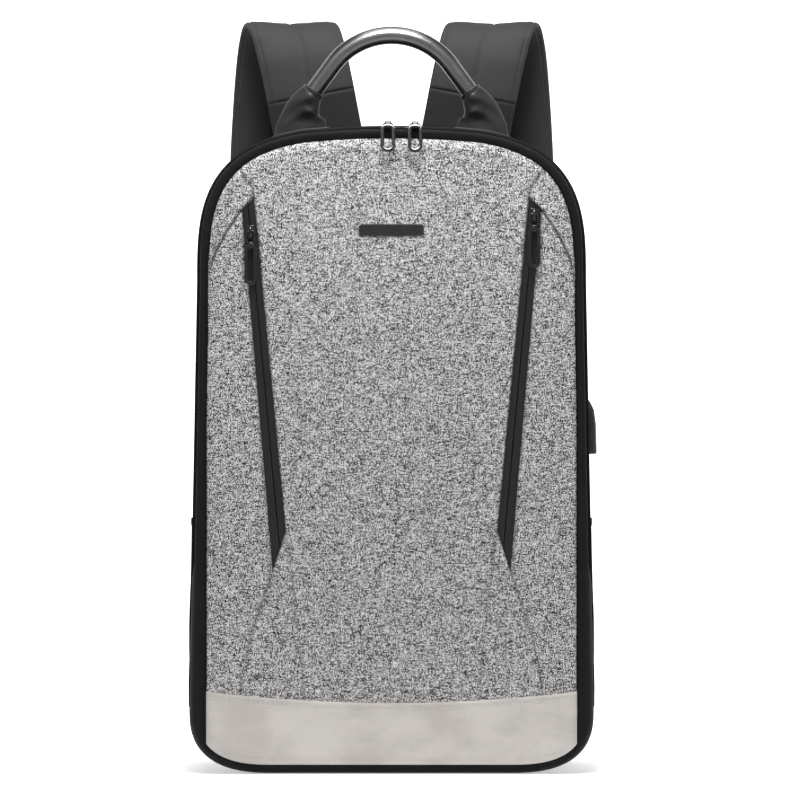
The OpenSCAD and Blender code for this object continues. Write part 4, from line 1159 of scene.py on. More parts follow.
@dataclass
class Padding:
    """Divider, cover lining and back pads."""

    shell: Shell

    def rounded_limits(self, x0: float, x1: float, z0: float, z1: float, r: float
                       ) -> Callable[[Array], tuple[Array, Array]]:
        """Limits of a rectangle with round corners, for Shell.panel centred on X = 0."""
        half = (x1 - x0) / 2

        def limits(x: Array) -> tuple[Array, Array]:
            """Lowest and highest Z of the panel at each X."""
            t = np.clip((np.abs(x) - (half - r)) / r, 0, 1)
            cut = r * (1 - np.sqrt(np.clip(1 - t**2, 0, 1)))
            return z0 + cut, z1 - cut

        return limits

    def divider(self) -> bpy.types.Object:
        """Padded laptop divider, thinner at its rim, quilted in slanted rows."""
        low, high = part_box("laptop_divider")
        limits = self.rounded_limits(low.x, high.x, low.z + 2 * MM, high.z - 0.4 * MM, 24 * MM)

        def faces_y(x: Array, z: Array, rim: Array) -> tuple[Array, Array]:
            """Front and back Y of the panel at each point."""
            edge = 2.2 * MM * (1 - smoothstep(rim, 0, 7 * MM))
            quilt = 0.7 * MM * (np.abs(np.sin((x + z) * 52)) ** 0.3 - 1) * smoothstep(rim, 6 * MM, 12 * MM)
            return low.y + 0.2 * MM + edge - quilt, high.y - 0.2 * MM - edge + quilt

        return self.shell.panel("divider_pad", limits, high.x - 0.5 * MM, faces_y, 130, 180)

    def lining(self) -> bpy.types.Object:
        """Lining behind the front cover: a slack sheet that turns forward to the skin at its rim."""
        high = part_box("pocket_lining")[1]
        skin = self.shell.skin

        def limits(x: Array) -> tuple[Array, Array]:
            """Lowest and highest Z of the panel at each X."""
            top = OUTLINE.edges(x, skin.inset_top + 6 * MM, 125.5 * MM)[1]
            return np.full_like(x, 141 * MM), top

        def faces_y(x: Array, z: Array, rim: Array) -> tuple[Array, Array]:
            """Front and back Y of the panel at each point."""
            out = smoothstep(rim, 1 * MM, 7 * MM)
            slack = 0.5 * MM * np.sin(x * 61) * np.sin(z * 47 + 1) + 0.9 * MM * np.exp(-(x / (2 * MM)) ** 2)
            back = skin.front_y + 3.6 * MM + (high.y - skin.front_y - 4.4 * MM - slack) * out
            return back - 0.9 * MM, back

        return self.shell.panel("cover_lining", limits, 125.5 * MM, faces_y, 130, 160)

    def back_pad(self, side: Side) -> bpy.types.Object:
        """One back pad, inflated as cloth and then sewn down along two slanted channels."""
        low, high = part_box(f"back_pad_{side.word}")
        mid, half = (low.x + high.x) / 2, (high.x - low.x) / 2 - 1 * MM
        limits = self.rounded_limits(-half, half, low.z + 1 * MM, high.z - 1 * MM, 21 * MM)

        def faces_y(x: Array, z: Array, rim: Array) -> tuple[Array, Array]:
            """Front and back Y of the panel at each point."""
            t = 1 - np.clip(rim / (9 * MM), 0, 1)
            swell = 0.55 + 0.45 * np.sqrt(np.clip(1 - t**2, 0, 1))
            depth = (high.y - low.y) * 0.8
            return np.full_like(x, low.y + 0.1 * MM), low.y + depth * swell

        pad = self.shell.panel(f"back_pad_{side.word}_cloth", limits, half, faces_y, 44, 110)
        set_coords(pad, coords(pad) + np.array([mid, 0, 0]))
        inflate(pad, voxel=4.5 * MM, cap=4 * MM, pressure=2.0)
        at = coords(pad)
        y_max = high.y + 3 * MM
        back = at[:, 1] > low.y + 2.5 * MM
        row = (at[:, 2] - 0.35 * (at[:, 0] - mid) * side.value) / (56 * MM)
        near = np.abs(row - np.round(row)) * 56 * MM
        across = (at[:, 0] - mid) / half
        channel = 2.4 * MM * np.exp(-(near / (2.6 * MM)) ** 2) * (1 - smoothstep(np.abs(across), 0.8, 1))
        sewn = np.minimum(at[:, 1] - channel, y_max)
        at[:, 1] = np.where(back, sewn, np.maximum(at[:, 1], low.y - 0.2 * MM))
        set_coords(pad, at)
        subdivide(pad)
        return pad

    def build(self) -> None:
        """Makes and dresses the padding."""
        dress(self.divider(), LINING, ["laptop_divider"], "bag")
        dress(self.lining(), LINING, ["pocket_lining", "pocket_rim", "pocket_seam"], "cover")
        for side in Side:
            pad = self.back_pad(side)
            dress(pad, AIR_MESH, [f"back_pad_{side.word}"], "bag")
        hold = frame["nodes"]["laptop_hold_strap"]
        paint(hold, WEBBING)


def inflate(piece: bpy.types.Object, voxel: float, cap: float, pressure: float,
            keep: Callable[[Array], Array] | None = None) -> None:
    """Puffs a closed shape up as cloth under pressure, and leaves the result in its mesh.

    The shape is remeshed into voxels, blown up over 20 frames without gravity, and each point
    is then held within the cap of where it began.

    Args:
        piece: The closed shape.
        voxel: Size of the remeshed cells.
        cap: Furthest that a point may move.
        pressure: Pressure inside the cloth.
        keep: Gives, from the points, a share from 0 to 1 of the motion that each one keeps.
    """
    add_modifier(piece, "REMESH", mode="VOXEL", voxel_size=voxel, use_smooth_shade=True)
    apply_modifiers(piece)
    before = coords(piece)
    cloth = add_modifier(piece, "CLOTH")
    cloth.settings.use_pressure = True
    cloth.settings.uniform_pressure_force = pressure
    cloth.settings.quality = 5
    cloth.settings.mass = 0.3
    cloth.settings.effector_weights.gravity = 0
    cloth.point_cache.frame_start, cloth.point_cache.frame_end = 1, 20
    for step in range(1, 21):
        bpy.context.scene.frame_set(step)
    apply_modifiers(piece)
    bpy.context.scene.frame_set(1)
    after = coords(piece)
    move = after - before
    size = np.linalg.norm(move, axis=1, keepdims=True)
    move *= np.minimum(1, cap / np.maximum(size, 1e-9))
    if keep is not None:
        move *= keep(before)[:, None]
    set_coords(piece, before + move)


# ---- shoulder straps ----


@dataclass
class Straps:
    """Raised shoulder straps: padded bands over the bag's back, webbing, buckles, anchors."""

    back_y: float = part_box("back_panel")[1].y
    width: float = 64 * MM
    thick: float = 9 * MM
    web_w: float = 25 * MM
    web_t: float = 1.6 * MM
    split_z: float = 482 * MM
    pad_route: tuple = ((55, 5, 464), (60, 5, 490), (65, 8, 513), (70, 17, 529), (76, 31, 532.5),
                        (80, 43, 520), (83, 49, 495), (86, 52, 450), (88, 52, 400), (92, 49, 340),
                        (97, 42, 285), (101.3, 34, 240))
    base_route: tuple = ((48, 5.4, 427), (51.5, 5.2, 446))
    web_route: tuple = ((101.8, 32.6, 234), (103, 30, 220.6), (107, 24, 180), (115, 14, 110),
                        (120, 8.5, 66), (121, 7, 50), (121.2, 6.6, 40))

    def line(self, route: Sequence, side: Side, count: int) -> Array:
        """A route's smooth line on one side, in metres, with Y measured from the back panel."""
        points = spline(np.asarray(route, float), count) * MM
        points[:, 1] += self.back_y
        points[:, 0] *= side.value
        return points

    def section(self, thick: float, narrow: float = 0.0) -> Array:
        """Section of a pad: two soft lobes with a stitched channel and a bound edge.

        The half thickness at w across the pad is thick/2 * (1 - |w|^5)^0.5, less a channel
        at the middle and a step at each edge.
        """
        w = np.sin(np.linspace(-1, 1, 49) * math.pi / 2)
        body = (1 - np.abs(w) ** 5) ** 0.5
        channel = 0.34 * np.exp(-((w - 0.02) / 0.035) ** 2)
        edge = 0.20 * np.exp(-((np.abs(w) - 0.90) / 0.02) ** 2)
        half = thick / 2 * np.clip(body - channel - edge, 0.12, 1)
        x = (self.width / 2 - narrow) * w
        return np.vstack([np.stack([x, half], -1), np.stack([x[-2:0:-1], -half[-2:0:-1]], -1)])

    def pad(self, side: Side) -> tuple[bpy.types.Object, bpy.types.Object]:
        """Both lengths of one shoulder pad: the sewn-down foot and the free strap."""
        whole = even(self.line(self.base_route + self.pad_route, side, 420), 2.4 * MM)
        foot_end = int(np.argmax(whole[:, 2] > self.split_z))
        rows = len(whole)
        along = np.arange(rows) / rows
        thick = self.thick * (0.9 + 0.04 * np.sin(along * 40) + 0.03 * np.sin(along * 91 + 1))
        thick *= 1 - 0.45 * (1 - smoothstep(np.arange(rows), 0, foot_end))
        thick *= 1 - 0.5 * smoothstep(along, 0.965, 1)
        profile = np.stack([self.section(t) for t in thick])
        profile = profile if side is Side.RIGHT else profile[:, ::-1]
        foot = sweep(f"strap_foot_{side.word}", whole[: foot_end + 1], profile[: foot_end + 1])
        free = sweep(f"shoulder_pad_{side.word}_cloth", whole[foot_end:], profile[foot_end:])
        return foot, free

    def pad_thread(self, side: Side) -> list[bpy.types.Object]:
        """Stitch rows: down the middle channel of the rising run, and along both edges."""
        whole = even(self.line(self.pad_route, side, 400), 2.4 * MM)
        rise = whole[: int(np.argmax(whole[:, 1] > self.back_y + 12 * MM))]
        d = tangents(whole)
        s = np.array([1.0, 0, 0]) - d[:, :1] * d
        s /= np.linalg.norm(s, axis=1, keepdims=True)
        up = np.cross(d, s)
        rows = [rise + (0.64 * MM) * s[: len(rise)] + 2.6 * MM * up[: len(rise)]]
        for edge in (-1, 1):
            out_by = edge * self.width / 2 * 0.86
            rows.append(whole[4:-4] + out_by * s[4:-4] + self.thick * 0.345 * up[4:-4])
        out = []
        for k, row in enumerate(rows):
            normal = up[: len(rise)] if k == 0 else up[4:-4]
            out.append(stitches(f"strap_thread_{side.word}_{k}", row, normal, pitch=3.6 * MM))
        return out

    def lock(self, side: Side) -> bpy.types.Object:
        """A ladder lock: a round-cornered frame with two slots and a raised middle bar."""
        low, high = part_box(f"ladder_lock_{side.word}")
        mid = np.array([(low.x + high.x) / 2, (low.y + high.y) / 2, (low.z + high.z) / 2])
        half_w, half_h = 15.2 * MM, 8.6 * MM
        lean_x, lean_y = math.radians(-9), math.radians(-5) * side.value
        a = np.linspace(0, 2 * math.pi, 60, endpoint=False)
        ring = np.stack([half_w * np.sign(np.cos(a)) * np.abs(np.cos(a)) ** 0.4, 0 * a,
                         half_h * np.sign(np.sin(a)) * np.abs(np.sin(a)) ** 0.4], -1)
        bars = [np.stack([np.linspace(-1, 1, 12) * (half_w - 1 * MM), np.full(12, y), np.full(12, z)], -1)
                for y, z in ((0.6 * MM, 0.0), (0.3 * MM, half_h * 0.94), (-0.4 * MM, -half_h * 0.94))]
        depth = np.array([0, 1.0, 0])
        parts = [sweep("ring", ring, oval(3.4 * MM, 3.2 * MM, 10, 3), side=depth, closed=True)]
        parts += [sweep("bar", bar, oval(3.0 * MM, 3.4 * MM, 10, 3), side=depth) for bar in bars]
        lock = join(f"buckle_{side.word}", parts)
        at = coords(lock)
        cx, sx, cy, sy = math.cos(lean_x), math.sin(lean_x), math.cos(lean_y), math.sin(lean_y)
        about_y = np.array([[cy, 0, sy], [0, 1, 0], [-sy, 0, cy]])
        about_x = np.array([[1, 0, 0], [0, cx, -sx], [0, sx, cx]])
        set_coords(lock, at @ (about_y @ about_x).T + mid)
        return lock

    def anchor(self, side: Side) -> bpy.types.Object:
        """Stitched wing that holds the webbing's foot: a tapered padded tab."""
        low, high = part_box(f"strap_anchor_{side.word}")
        t = np.linspace(0, 1, 26)
        z = low.z + (high.z - low.z) * t
        centre = (121 - 5 * (1 - t)) * MM * side.value
        line = np.stack([centre, np.full_like(t, (low.y + high.y) / 2), z], -1)
        width = (32 - 6 * t) * MM
        thick = (high.y - low.y) * (0.62 + 0.3 * np.sin(math.pi * np.clip(t * 1.1, 0, 1)))
        profile = np.stack([oval(w, h, 28, 3.4) for w, h in zip(width, thick)])
        return sweep(f"anchor_{side.word}", line, profile)

    def build(self) -> None:
        """Makes and dresses both straps."""
        for side in Side:
            foot, free = self.pad(side)
            dress(foot, STRAP_PATCH, [f"strap_base_{side.word}"])
            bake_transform(foot)
            dress(free, STRAP_CLOTH, [f"shoulder_pad_{side.word}"], f"strap_{side.word}")
            for row in self.pad_thread(side):
                dress(row, THREAD_DARK, [], f"strap_{side.word}")
            web = sweep(f"webbing_{side.word}", even(self.line(self.web_route, side, 200), 3 * MM),
                        oval(self.web_w, self.web_t, 20, 6))
            dress(web, WEBBING, [f"strap_webbing_{side.word}"], f"strap_{side.word}")
            lock = self.lock(side)
            dress(lock, PLASTIC, [f"ladder_lock_{side.word}"], f"strap_{side.word}")
            dress(self.anchor(side), STRAP_PATCH, [f"strap_anchor_{side.word}"], "bag")


# ---- handle ----


@dataclass
class Handle:
    """Bent metal tube held at each end by a soft sleeve that is sewn to the crown."""

    y: float = -12 * MM
    tube_d: float = 12.7 * MM
    arch_r: float = 52.6 * MM
    half_angle: float = math.radians(53.7)
    top_z: float = 525.5 * MM
    leg_l: float = 33 * MM
    bare: float = 22 * MM
    tab_x: float = 65 * MM
    tab_w: float = 38 * MM

    def leg(self) -> tuple[Array, Array]:
        """Start and direction of the right-hand leg, as X and Z."""
        s, c = math.sin(self.half_angle), math.cos(self.half_angle)
        centre_z = self.top_z - self.arch_r
        return np.array([self.arch_r * s, centre_z + self.arch_r * c]), np.array([c, -s])

    def tube(self) -> bpy.types.Object:
        """The tube: a circle carried along a leg, the arch and the other leg."""
        start, run = self.leg()
        a = np.linspace(self.half_angle, -self.half_angle, 90)
        arch = np.stack([self.arch_r * np.sin(a), self.top_z - self.arch_r + self.arch_r * np.cos(a)], -1)
        leg = start + run * np.linspace(self.leg_l, 1 * MM, 16)[:, None]
        flat = np.vstack([leg, arch, leg[::-1] * [-1, 1]])
        line = np.stack([flat[:, 0], np.full(len(flat), self.y), flat[:, 1]], -1)
        return sweep("handle_bar", line, oval(self.tube_d, self.tube_d, 40), side=np.array([0, 1.0, 0]))

    def tab(self, side: Side) -> bpy.types.Object:
        """Sleeve from the tube down to the crown: round at its mouth, flat and wide at its foot.

        Its rings turn from a circle square to the tube into a flat oval along X, with soft
        creases where the cloth turns, and a rolled rim at the mouth.
        """
        start, run = self.leg()
        mouth = start + run * self.bare
        rows, cols = 44, 64
        t = np.linspace(0, 1, rows)[:, None]
        a = np.linspace(0, 2 * math.pi, cols, endpoint=False)[None]
        foot = np.array([self.tab_x, 459.4 * MM])
        ease = t**1.25
        ctrl = mouth + run * 13 * MM
        cx = (1 - t) ** 2 * mouth[0] + 2 * t * (1 - t) * ctrl[0] + t**2 * foot[0]
        cz = (1 - t) ** 2 * mouth[1] + 2 * t * (1 - t) * ctrl[1] + t**2 * foot[1]
        lean = (1 - smoothstep(t, 0.0, 0.95)) * math.atan2(-run[1], run[0])
        across = np.stack([np.sin(lean), np.cos(lean)], -1)
        across_x, across_z = across[..., 0], across[..., 1]
        flat = smoothstep(t, 0.1, 0.9)
        across_x, across_z = across_x * (1 - flat) + flat, across_z * (1 - flat)
        norm = np.sqrt(across_x**2 + across_z**2)
        across_x, across_z = across_x / norm, across_z / norm
        mouth_r = self.tube_d / 2 + 1.5 * MM
        half_w = mouth_r + (self.tab_w / 2 - mouth_r) * ease
        half_d = mouth_r * (1 - 0.62 * smoothstep(t, 0.15, 0.95))
        rim = 0.5 * MM * np.exp(-((t - 0.02) / 0.02) ** 2) - 0.35 * MM * np.exp(-((t - 0.12) / 0.02) ** 2)
        crease = 0.9 * MM * np.sin(math.pi * t) * np.sin(2 * a + 9 * t) * smoothstep(t, 0.3, 0.6)
        crease = crease + 0.6 * MM * np.sin(math.pi * t) * np.sin(5 * a - 14 * t)
        half_w, half_d = half_w + rim + 0 * a, half_d + rim + crease * np.abs(np.sin(a))
        c, s = np.cos(a), np.sin(a)
        px = cx + half_w * c * across_x
        pz = cz + half_w * c * across_z
        py = self.y + half_d * s
        crown = OUTLINE.edges(px, 0.0, 143 * MM)[1] + 0.5 * MM
        pz = np.where(t > 0.9, pz + (crown - pz) * smoothstep(t, 0.9, 1.0), np.maximum(pz, crown))
        points = np.stack([px * side.value, py, pz], -1)
        piece = make_piece(f"handle_sleeve_{side.word}", points, grid_faces(rows, cols, True))
        add_modifier(piece, "SOLIDIFY", thickness=1.1 * MM, offset=-1)
        subdivide(piece)
        return piece

    def patch(self, side: Side) -> bpy.types.Object:
        """Flat sewn patch on the crown under a sleeve, following the crown's curve."""
        x = np.linspace(self.tab_x - self.tab_w / 2 - 1 * MM, self.tab_x + self.tab_w / 2 + 1 * MM, 40)
        z = OUTLINE.edges(x, 0.0, 143 * MM)[1] + 0.35 * MM
        line = np.stack([x * side.value, np.full(40, self.y), z], -1)
        return sweep(f"handle_patch_{side.word}_cloth", line, oval(22 * MM, 1.3 * MM, 24, 5),
                     side=np.array([0, 1.0, 0]))

    def mouth_thread(self, side: Side) -> bpy.types.Object:
        """Stitches round the sleeve's mouth."""
        start, run = self.leg()
        at = start + run * (self.bare + 2.6 * MM)
        a = np.linspace(0, 2 * math.pi, 60)
        r = self.tube_d / 2 + 1.75 * MM
        out = np.stack([np.cos(a) * -run[1], np.sin(a), np.cos(a) * run[0]], -1)
        line = np.array([at[0], self.y, at[1]]) + r * out
        line[:, 0] *= side.value
        out[:, 0] *= side.value
        return stitches(f"mouth_thread_{side.word}", line, out, pitch=2.6 * MM, length=1.9 * MM)

    def build(self) -> None:
        """Makes and dresses the handle."""
        dress(self.tube(), ALUMINIUM, ["handle_tube"], "handle")
        for side in Side:
            tab = self.tab(side)
            dress(tab, COATED, [f"handle_tab_{side.word}"])
            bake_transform(tab)
            dress(self.patch(side), COATED, [f"handle_patch_{side.word}"], "bag")
            dress(self.mouth_thread(side), THREAD_DARK, [], "handle")


# ---- zips and hardware ----


def prism(name: str, outline: Array, low: float, high: float, bevel: float) -> bpy.types.Object:
    """A flat plate with bevelled edges, drawn in X and Y between two heights.

    Args:
        name: Name of the piece.
        outline: Corner points of the plate, anticlockwise.
        low: Z of its lower face.
        high: Z of its upper face.
        bevel: Width of the rounded edge.

    Returns:
        The plate, with its bevel applied.
    """
    n = len(outline)
    points = np.vstack([np.column_stack([outline, np.full(n, z)]) for z in (low, high)])
    k = (np.arange(n) + 1) % n
    sides = np.stack([np.arange(n), k, k + n, np.arange(n) + n], -1).tolist()
    piece = make_piece(name, points, sides + [list(range(n))[::-1], list(range(n, 2 * n))])
    add_modifier(piece, "BEVEL", width=bevel, segments=3, limit_method="ANGLE")
    apply_modifiers(piece)
    return piece


def loop_line(width: float, length: float, corner: float, count: int = 64) -> Array:
    """Middle line of a ring: a rectangle with round ends that hangs from its top, in X and Y.

    Args:
        width: Width of the ring's middle line.
        length: Its length, from 0 down to -length.
        corner: Radius of the two upper corners; the lower end is a half circle.
        count: Number of points.

    Returns:
        Closed line of points.
    """
    r = width / 2
    a = np.linspace(math.pi, 2 * math.pi, 24)
    foot = np.stack([r * np.cos(a), -length + r + r * np.sin(a)], -1)
    b = np.linspace(0, math.pi / 2, 8)
    right = np.stack([r - corner + corner * np.cos(b), -corner + corner * np.sin(b)], -1)
    left = right[::-1] * [-1, 1]
    ring = np.vstack([foot, right, left, foot[:1]])
    return even(ring, 2 * (width + length) / count)[:-1]


def place(piece: bpy.types.Object, origin: Array, axes: Array) -> bpy.types.Object:
    """Moves a piece's points from its own axes to their place: origin + point @ axes."""
    set_coords(piece, coords(piece) @ np.asarray(axes) + np.asarray(origin))
    if np.linalg.det(np.asarray(axes)) < 0:
        piece.data.flip_normals()
    return piece


TOOTH_PITCH = 1.5 * MM
TOOTH_STEP = 0.5 * MM
TOOTH_SWELL = 0.22
ZIP_HALF_GAP = 0.35 * MM


def teeth(name: str, line: Array, width: float, height: float, side: Array | None = None
          ) -> bpy.types.Object:
    """One row of teeth: a bead whose girth swells once every tooth, as 1 + swell * cosine.

    Args:
        name: Name of the row.
        line: Its middle line, with a point every TOOTH_STEP.
        width: Width of the bead.
        height: Height of the bead.
        side: Direction of the width, or none for the sweep's own.

    Returns:
        The row.
    """
    turn = np.arange(len(line)) * TOOTH_STEP / TOOTH_PITCH * 2 * math.pi
    girth = 1 + TOOTH_SWELL * np.cos(turn)
    return sweep(name, line, oval(width, height, 6)[None] * girth[:, None, None], side=side)


@dataclass
class MainZip:
    """Zip round the top of the bag with two sliders that meet near the middle of the crown."""

    zip_y: float = -55 * MM
    end_z: float = 145 * MM
    track_r: float = 658.2 * MM
    centre_z: float = -200.5 * MM
    tape_w: float = 4.7 * MM
    tape_t: float = 0.8 * MM
    tape_inset: float = 3.2 * MM
    coil_inset: float = 4.35 * MM
    coil_off: float = 1.3 * MM
    coil_d: float = 1.3 * MM
    slider_half: float = 6.4 * MM
    neck_drop: float = math.radians(14)
    neck_length: float = 9 * MM
    neck_widths: tuple = (4.4, 4.2, 3.9, 3.7, 3.6, 3.8, 4.4, 5.2, 6.2, 7.0)
    ring_drop: float = math.radians(68)
    slider_x: dict = field(default_factory=lambda: {Side.LEFT: 0.3 * MM, Side.RIGHT: 13.7 * MM})

    def path(self, inset: float) -> Array:
        """Open line over the crown from the zip's right end to its left end."""
        ring = OUTLINE.inset(inset)
        keep = ring[:, 1] >= self.end_z
        flat = ring[keep]
        return np.stack([flat[:, 0], np.full(len(flat), self.zip_y), flat[:, 1]], -1)

    def tape(self, rear: bool) -> bpy.types.Object:
        """One half of the tape: smooth outside, with a bead along the middle of the zip."""
        sign = 1 if rear else -1
        near, far = ZIP_HALF_GAP, self.tape_w
        u = np.linspace(near, far, 16)
        bead = 0.35 * MM * np.exp(-((u - near) / (0.7 * MM)) ** 2)
        bead = bead + 0.12 * MM * np.exp(-((u - 2.9 * MM) / (0.3 * MM)) ** 2)
        outer = np.stack([u * sign, -self.tape_t / 2 - bead], -1)
        inner = np.stack([u[::-1] * sign, np.full(16, self.tape_t / 2)], -1)
        return sweep(f"zip_tape_{'rear' if rear else 'front'}", self.path(self.tape_inset),
                     np.vstack([outer, inner]), side=np.array([0, 1.0, 0]))

    def coil(self, rear: bool) -> bpy.types.Object:
        """One row of teeth behind the tape: a bead whose girth swells once every 1.5 mm."""
        sign = 1 if rear else -1
        line = even(self.path(self.coil_inset), TOOTH_STEP)
        line[:, 1] += sign * self.coil_off
        return teeth(f"zip_coil_{'rear' if rear else 'front'}", line, self.coil_d, self.coil_d,
                     side=np.array([0, 1.0, 0]))

    def axes(self, side: Side) -> tuple[Array, Array]:
        """Place and axes of a slider: nose, across, outward."""
        angle = math.asin(self.slider_x[side] / self.track_r)
        s, c = math.sin(angle), math.cos(angle)
        origin = np.array([self.track_r * s, self.zip_y, self.centre_z + self.track_r * c])
        nose = np.array([c, 0, -s]) * -side.value
        return origin, np.array([nose, [0, 1.0, 0], [s, 0, c]])

    def slider(self, side: Side) -> bpy.types.Object:
        """A slider: a waisted cap, a narrow plate under it on a post, and an arched bridge for the pull."""
        t = np.linspace(0, 1, 13)
        half = (3.0 + 1.2 * np.sin(math.pi * (0.15 + 0.85 * t)) ** 0.8) * MM
        x = self.slider_half * (2 * t - 1)
        outline = np.vstack([np.stack([x, -half], -1), np.stack([x[::-1], half[::-1]], -1)])
        cap = prism("cap", outline, 0.35 * MM, 1.75 * MM, 0.45 * MM)
        under = prism("under", outline * [0.93, 0.42], -3.9 * MM, -2.9 * MM, 0.3 * MM)
        post = prism("post", np.array([[-1.8, -0.4], [1.8, -0.4], [1.8, 0.4], [-1.8, 0.4]]) * MM,
                     -3.0 * MM, 0.6 * MM, 0.1 * MM)
        a = np.linspace(0, math.pi, 20)
        arch = np.stack([-2.9 * MM - 3.9 * MM * np.cos(a), 0 * a, 1.2 * MM + 3.4 * MM * np.sin(a) ** 0.6], -1)
        bridge = sweep("bridge", arch, oval(2.6 * MM, 1.1 * MM, 12, 3), side=np.array([0, 1.0, 0]))
        piece = join(f"slider_{side.word}", [cap, under, post, bridge])
        origin, axes = self.axes(side)
        return place(piece, origin, axes)

    def pull(self, side: Side) -> bpy.types.Object:
        """A pull: a short neck that lies over the zip and a slotted ring that hangs in front."""
        pivots = {j["name"]: j["pos_m"] for j in frame["joints"] if "pos_m" in j}
        origin = np.array(pivots[f"main_pull_swing_{side.word}"])
        knuckle = sweep("knuckle", np.stack([np.linspace(-2.3, 2.3, 8), np.zeros(8), np.zeros(8)], -1) * MM,
                        oval(3.4 * MM, 3.0 * MM, 16), side=np.array([0, 1.0, 0]))
        along = np.linspace(0.6, 9.4, 10)[:, None] * MM
        run = np.array([0, -math.cos(self.neck_drop), -math.sin(self.neck_drop)])
        neck = sweep("neck", along * run,
                     np.stack([oval(w * MM, 1.7 * MM, 16, 3) for w in self.neck_widths]))
        foot = self.neck_length * run
        down = np.array([0, -math.cos(self.ring_drop), -math.sin(self.ring_drop)])
        flat = loop_line(7.8 * MM, 18.6 * MM, 2.4 * MM)
        line = foot + flat[:, :1] * np.array([1.0, 0, 0]) - flat[:, 1:] * down
        face = np.cross([1.0, 0, 0], down)
        ring = sweep("ring", line, oval(1.9 * MM, 2.5 * MM, 16, 6), side=face, closed=True)
        piece = join(f"pull_{side.word}", [knuckle, neck, ring])
        return place(piece, origin, np.eye(3))

    def build(self) -> None:
        """Makes and dresses the main zip."""
        for rear in (False, True):
            word, body = ("rear", "bag") if rear else ("front", "cover")
            dress(self.tape(rear), TAPE, [f"main_zip_tape_{word}"], body)
            dress(self.coil(rear), COIL, [f"main_zip_coil_{word}"], body)
        for side in Side:
            for piece, part in ((self.slider(side), "slider"), (self.pull(side), "pull")):
                node = f"main_{part}_{side.word}"
                dress(piece, ENAMEL, [node], node)


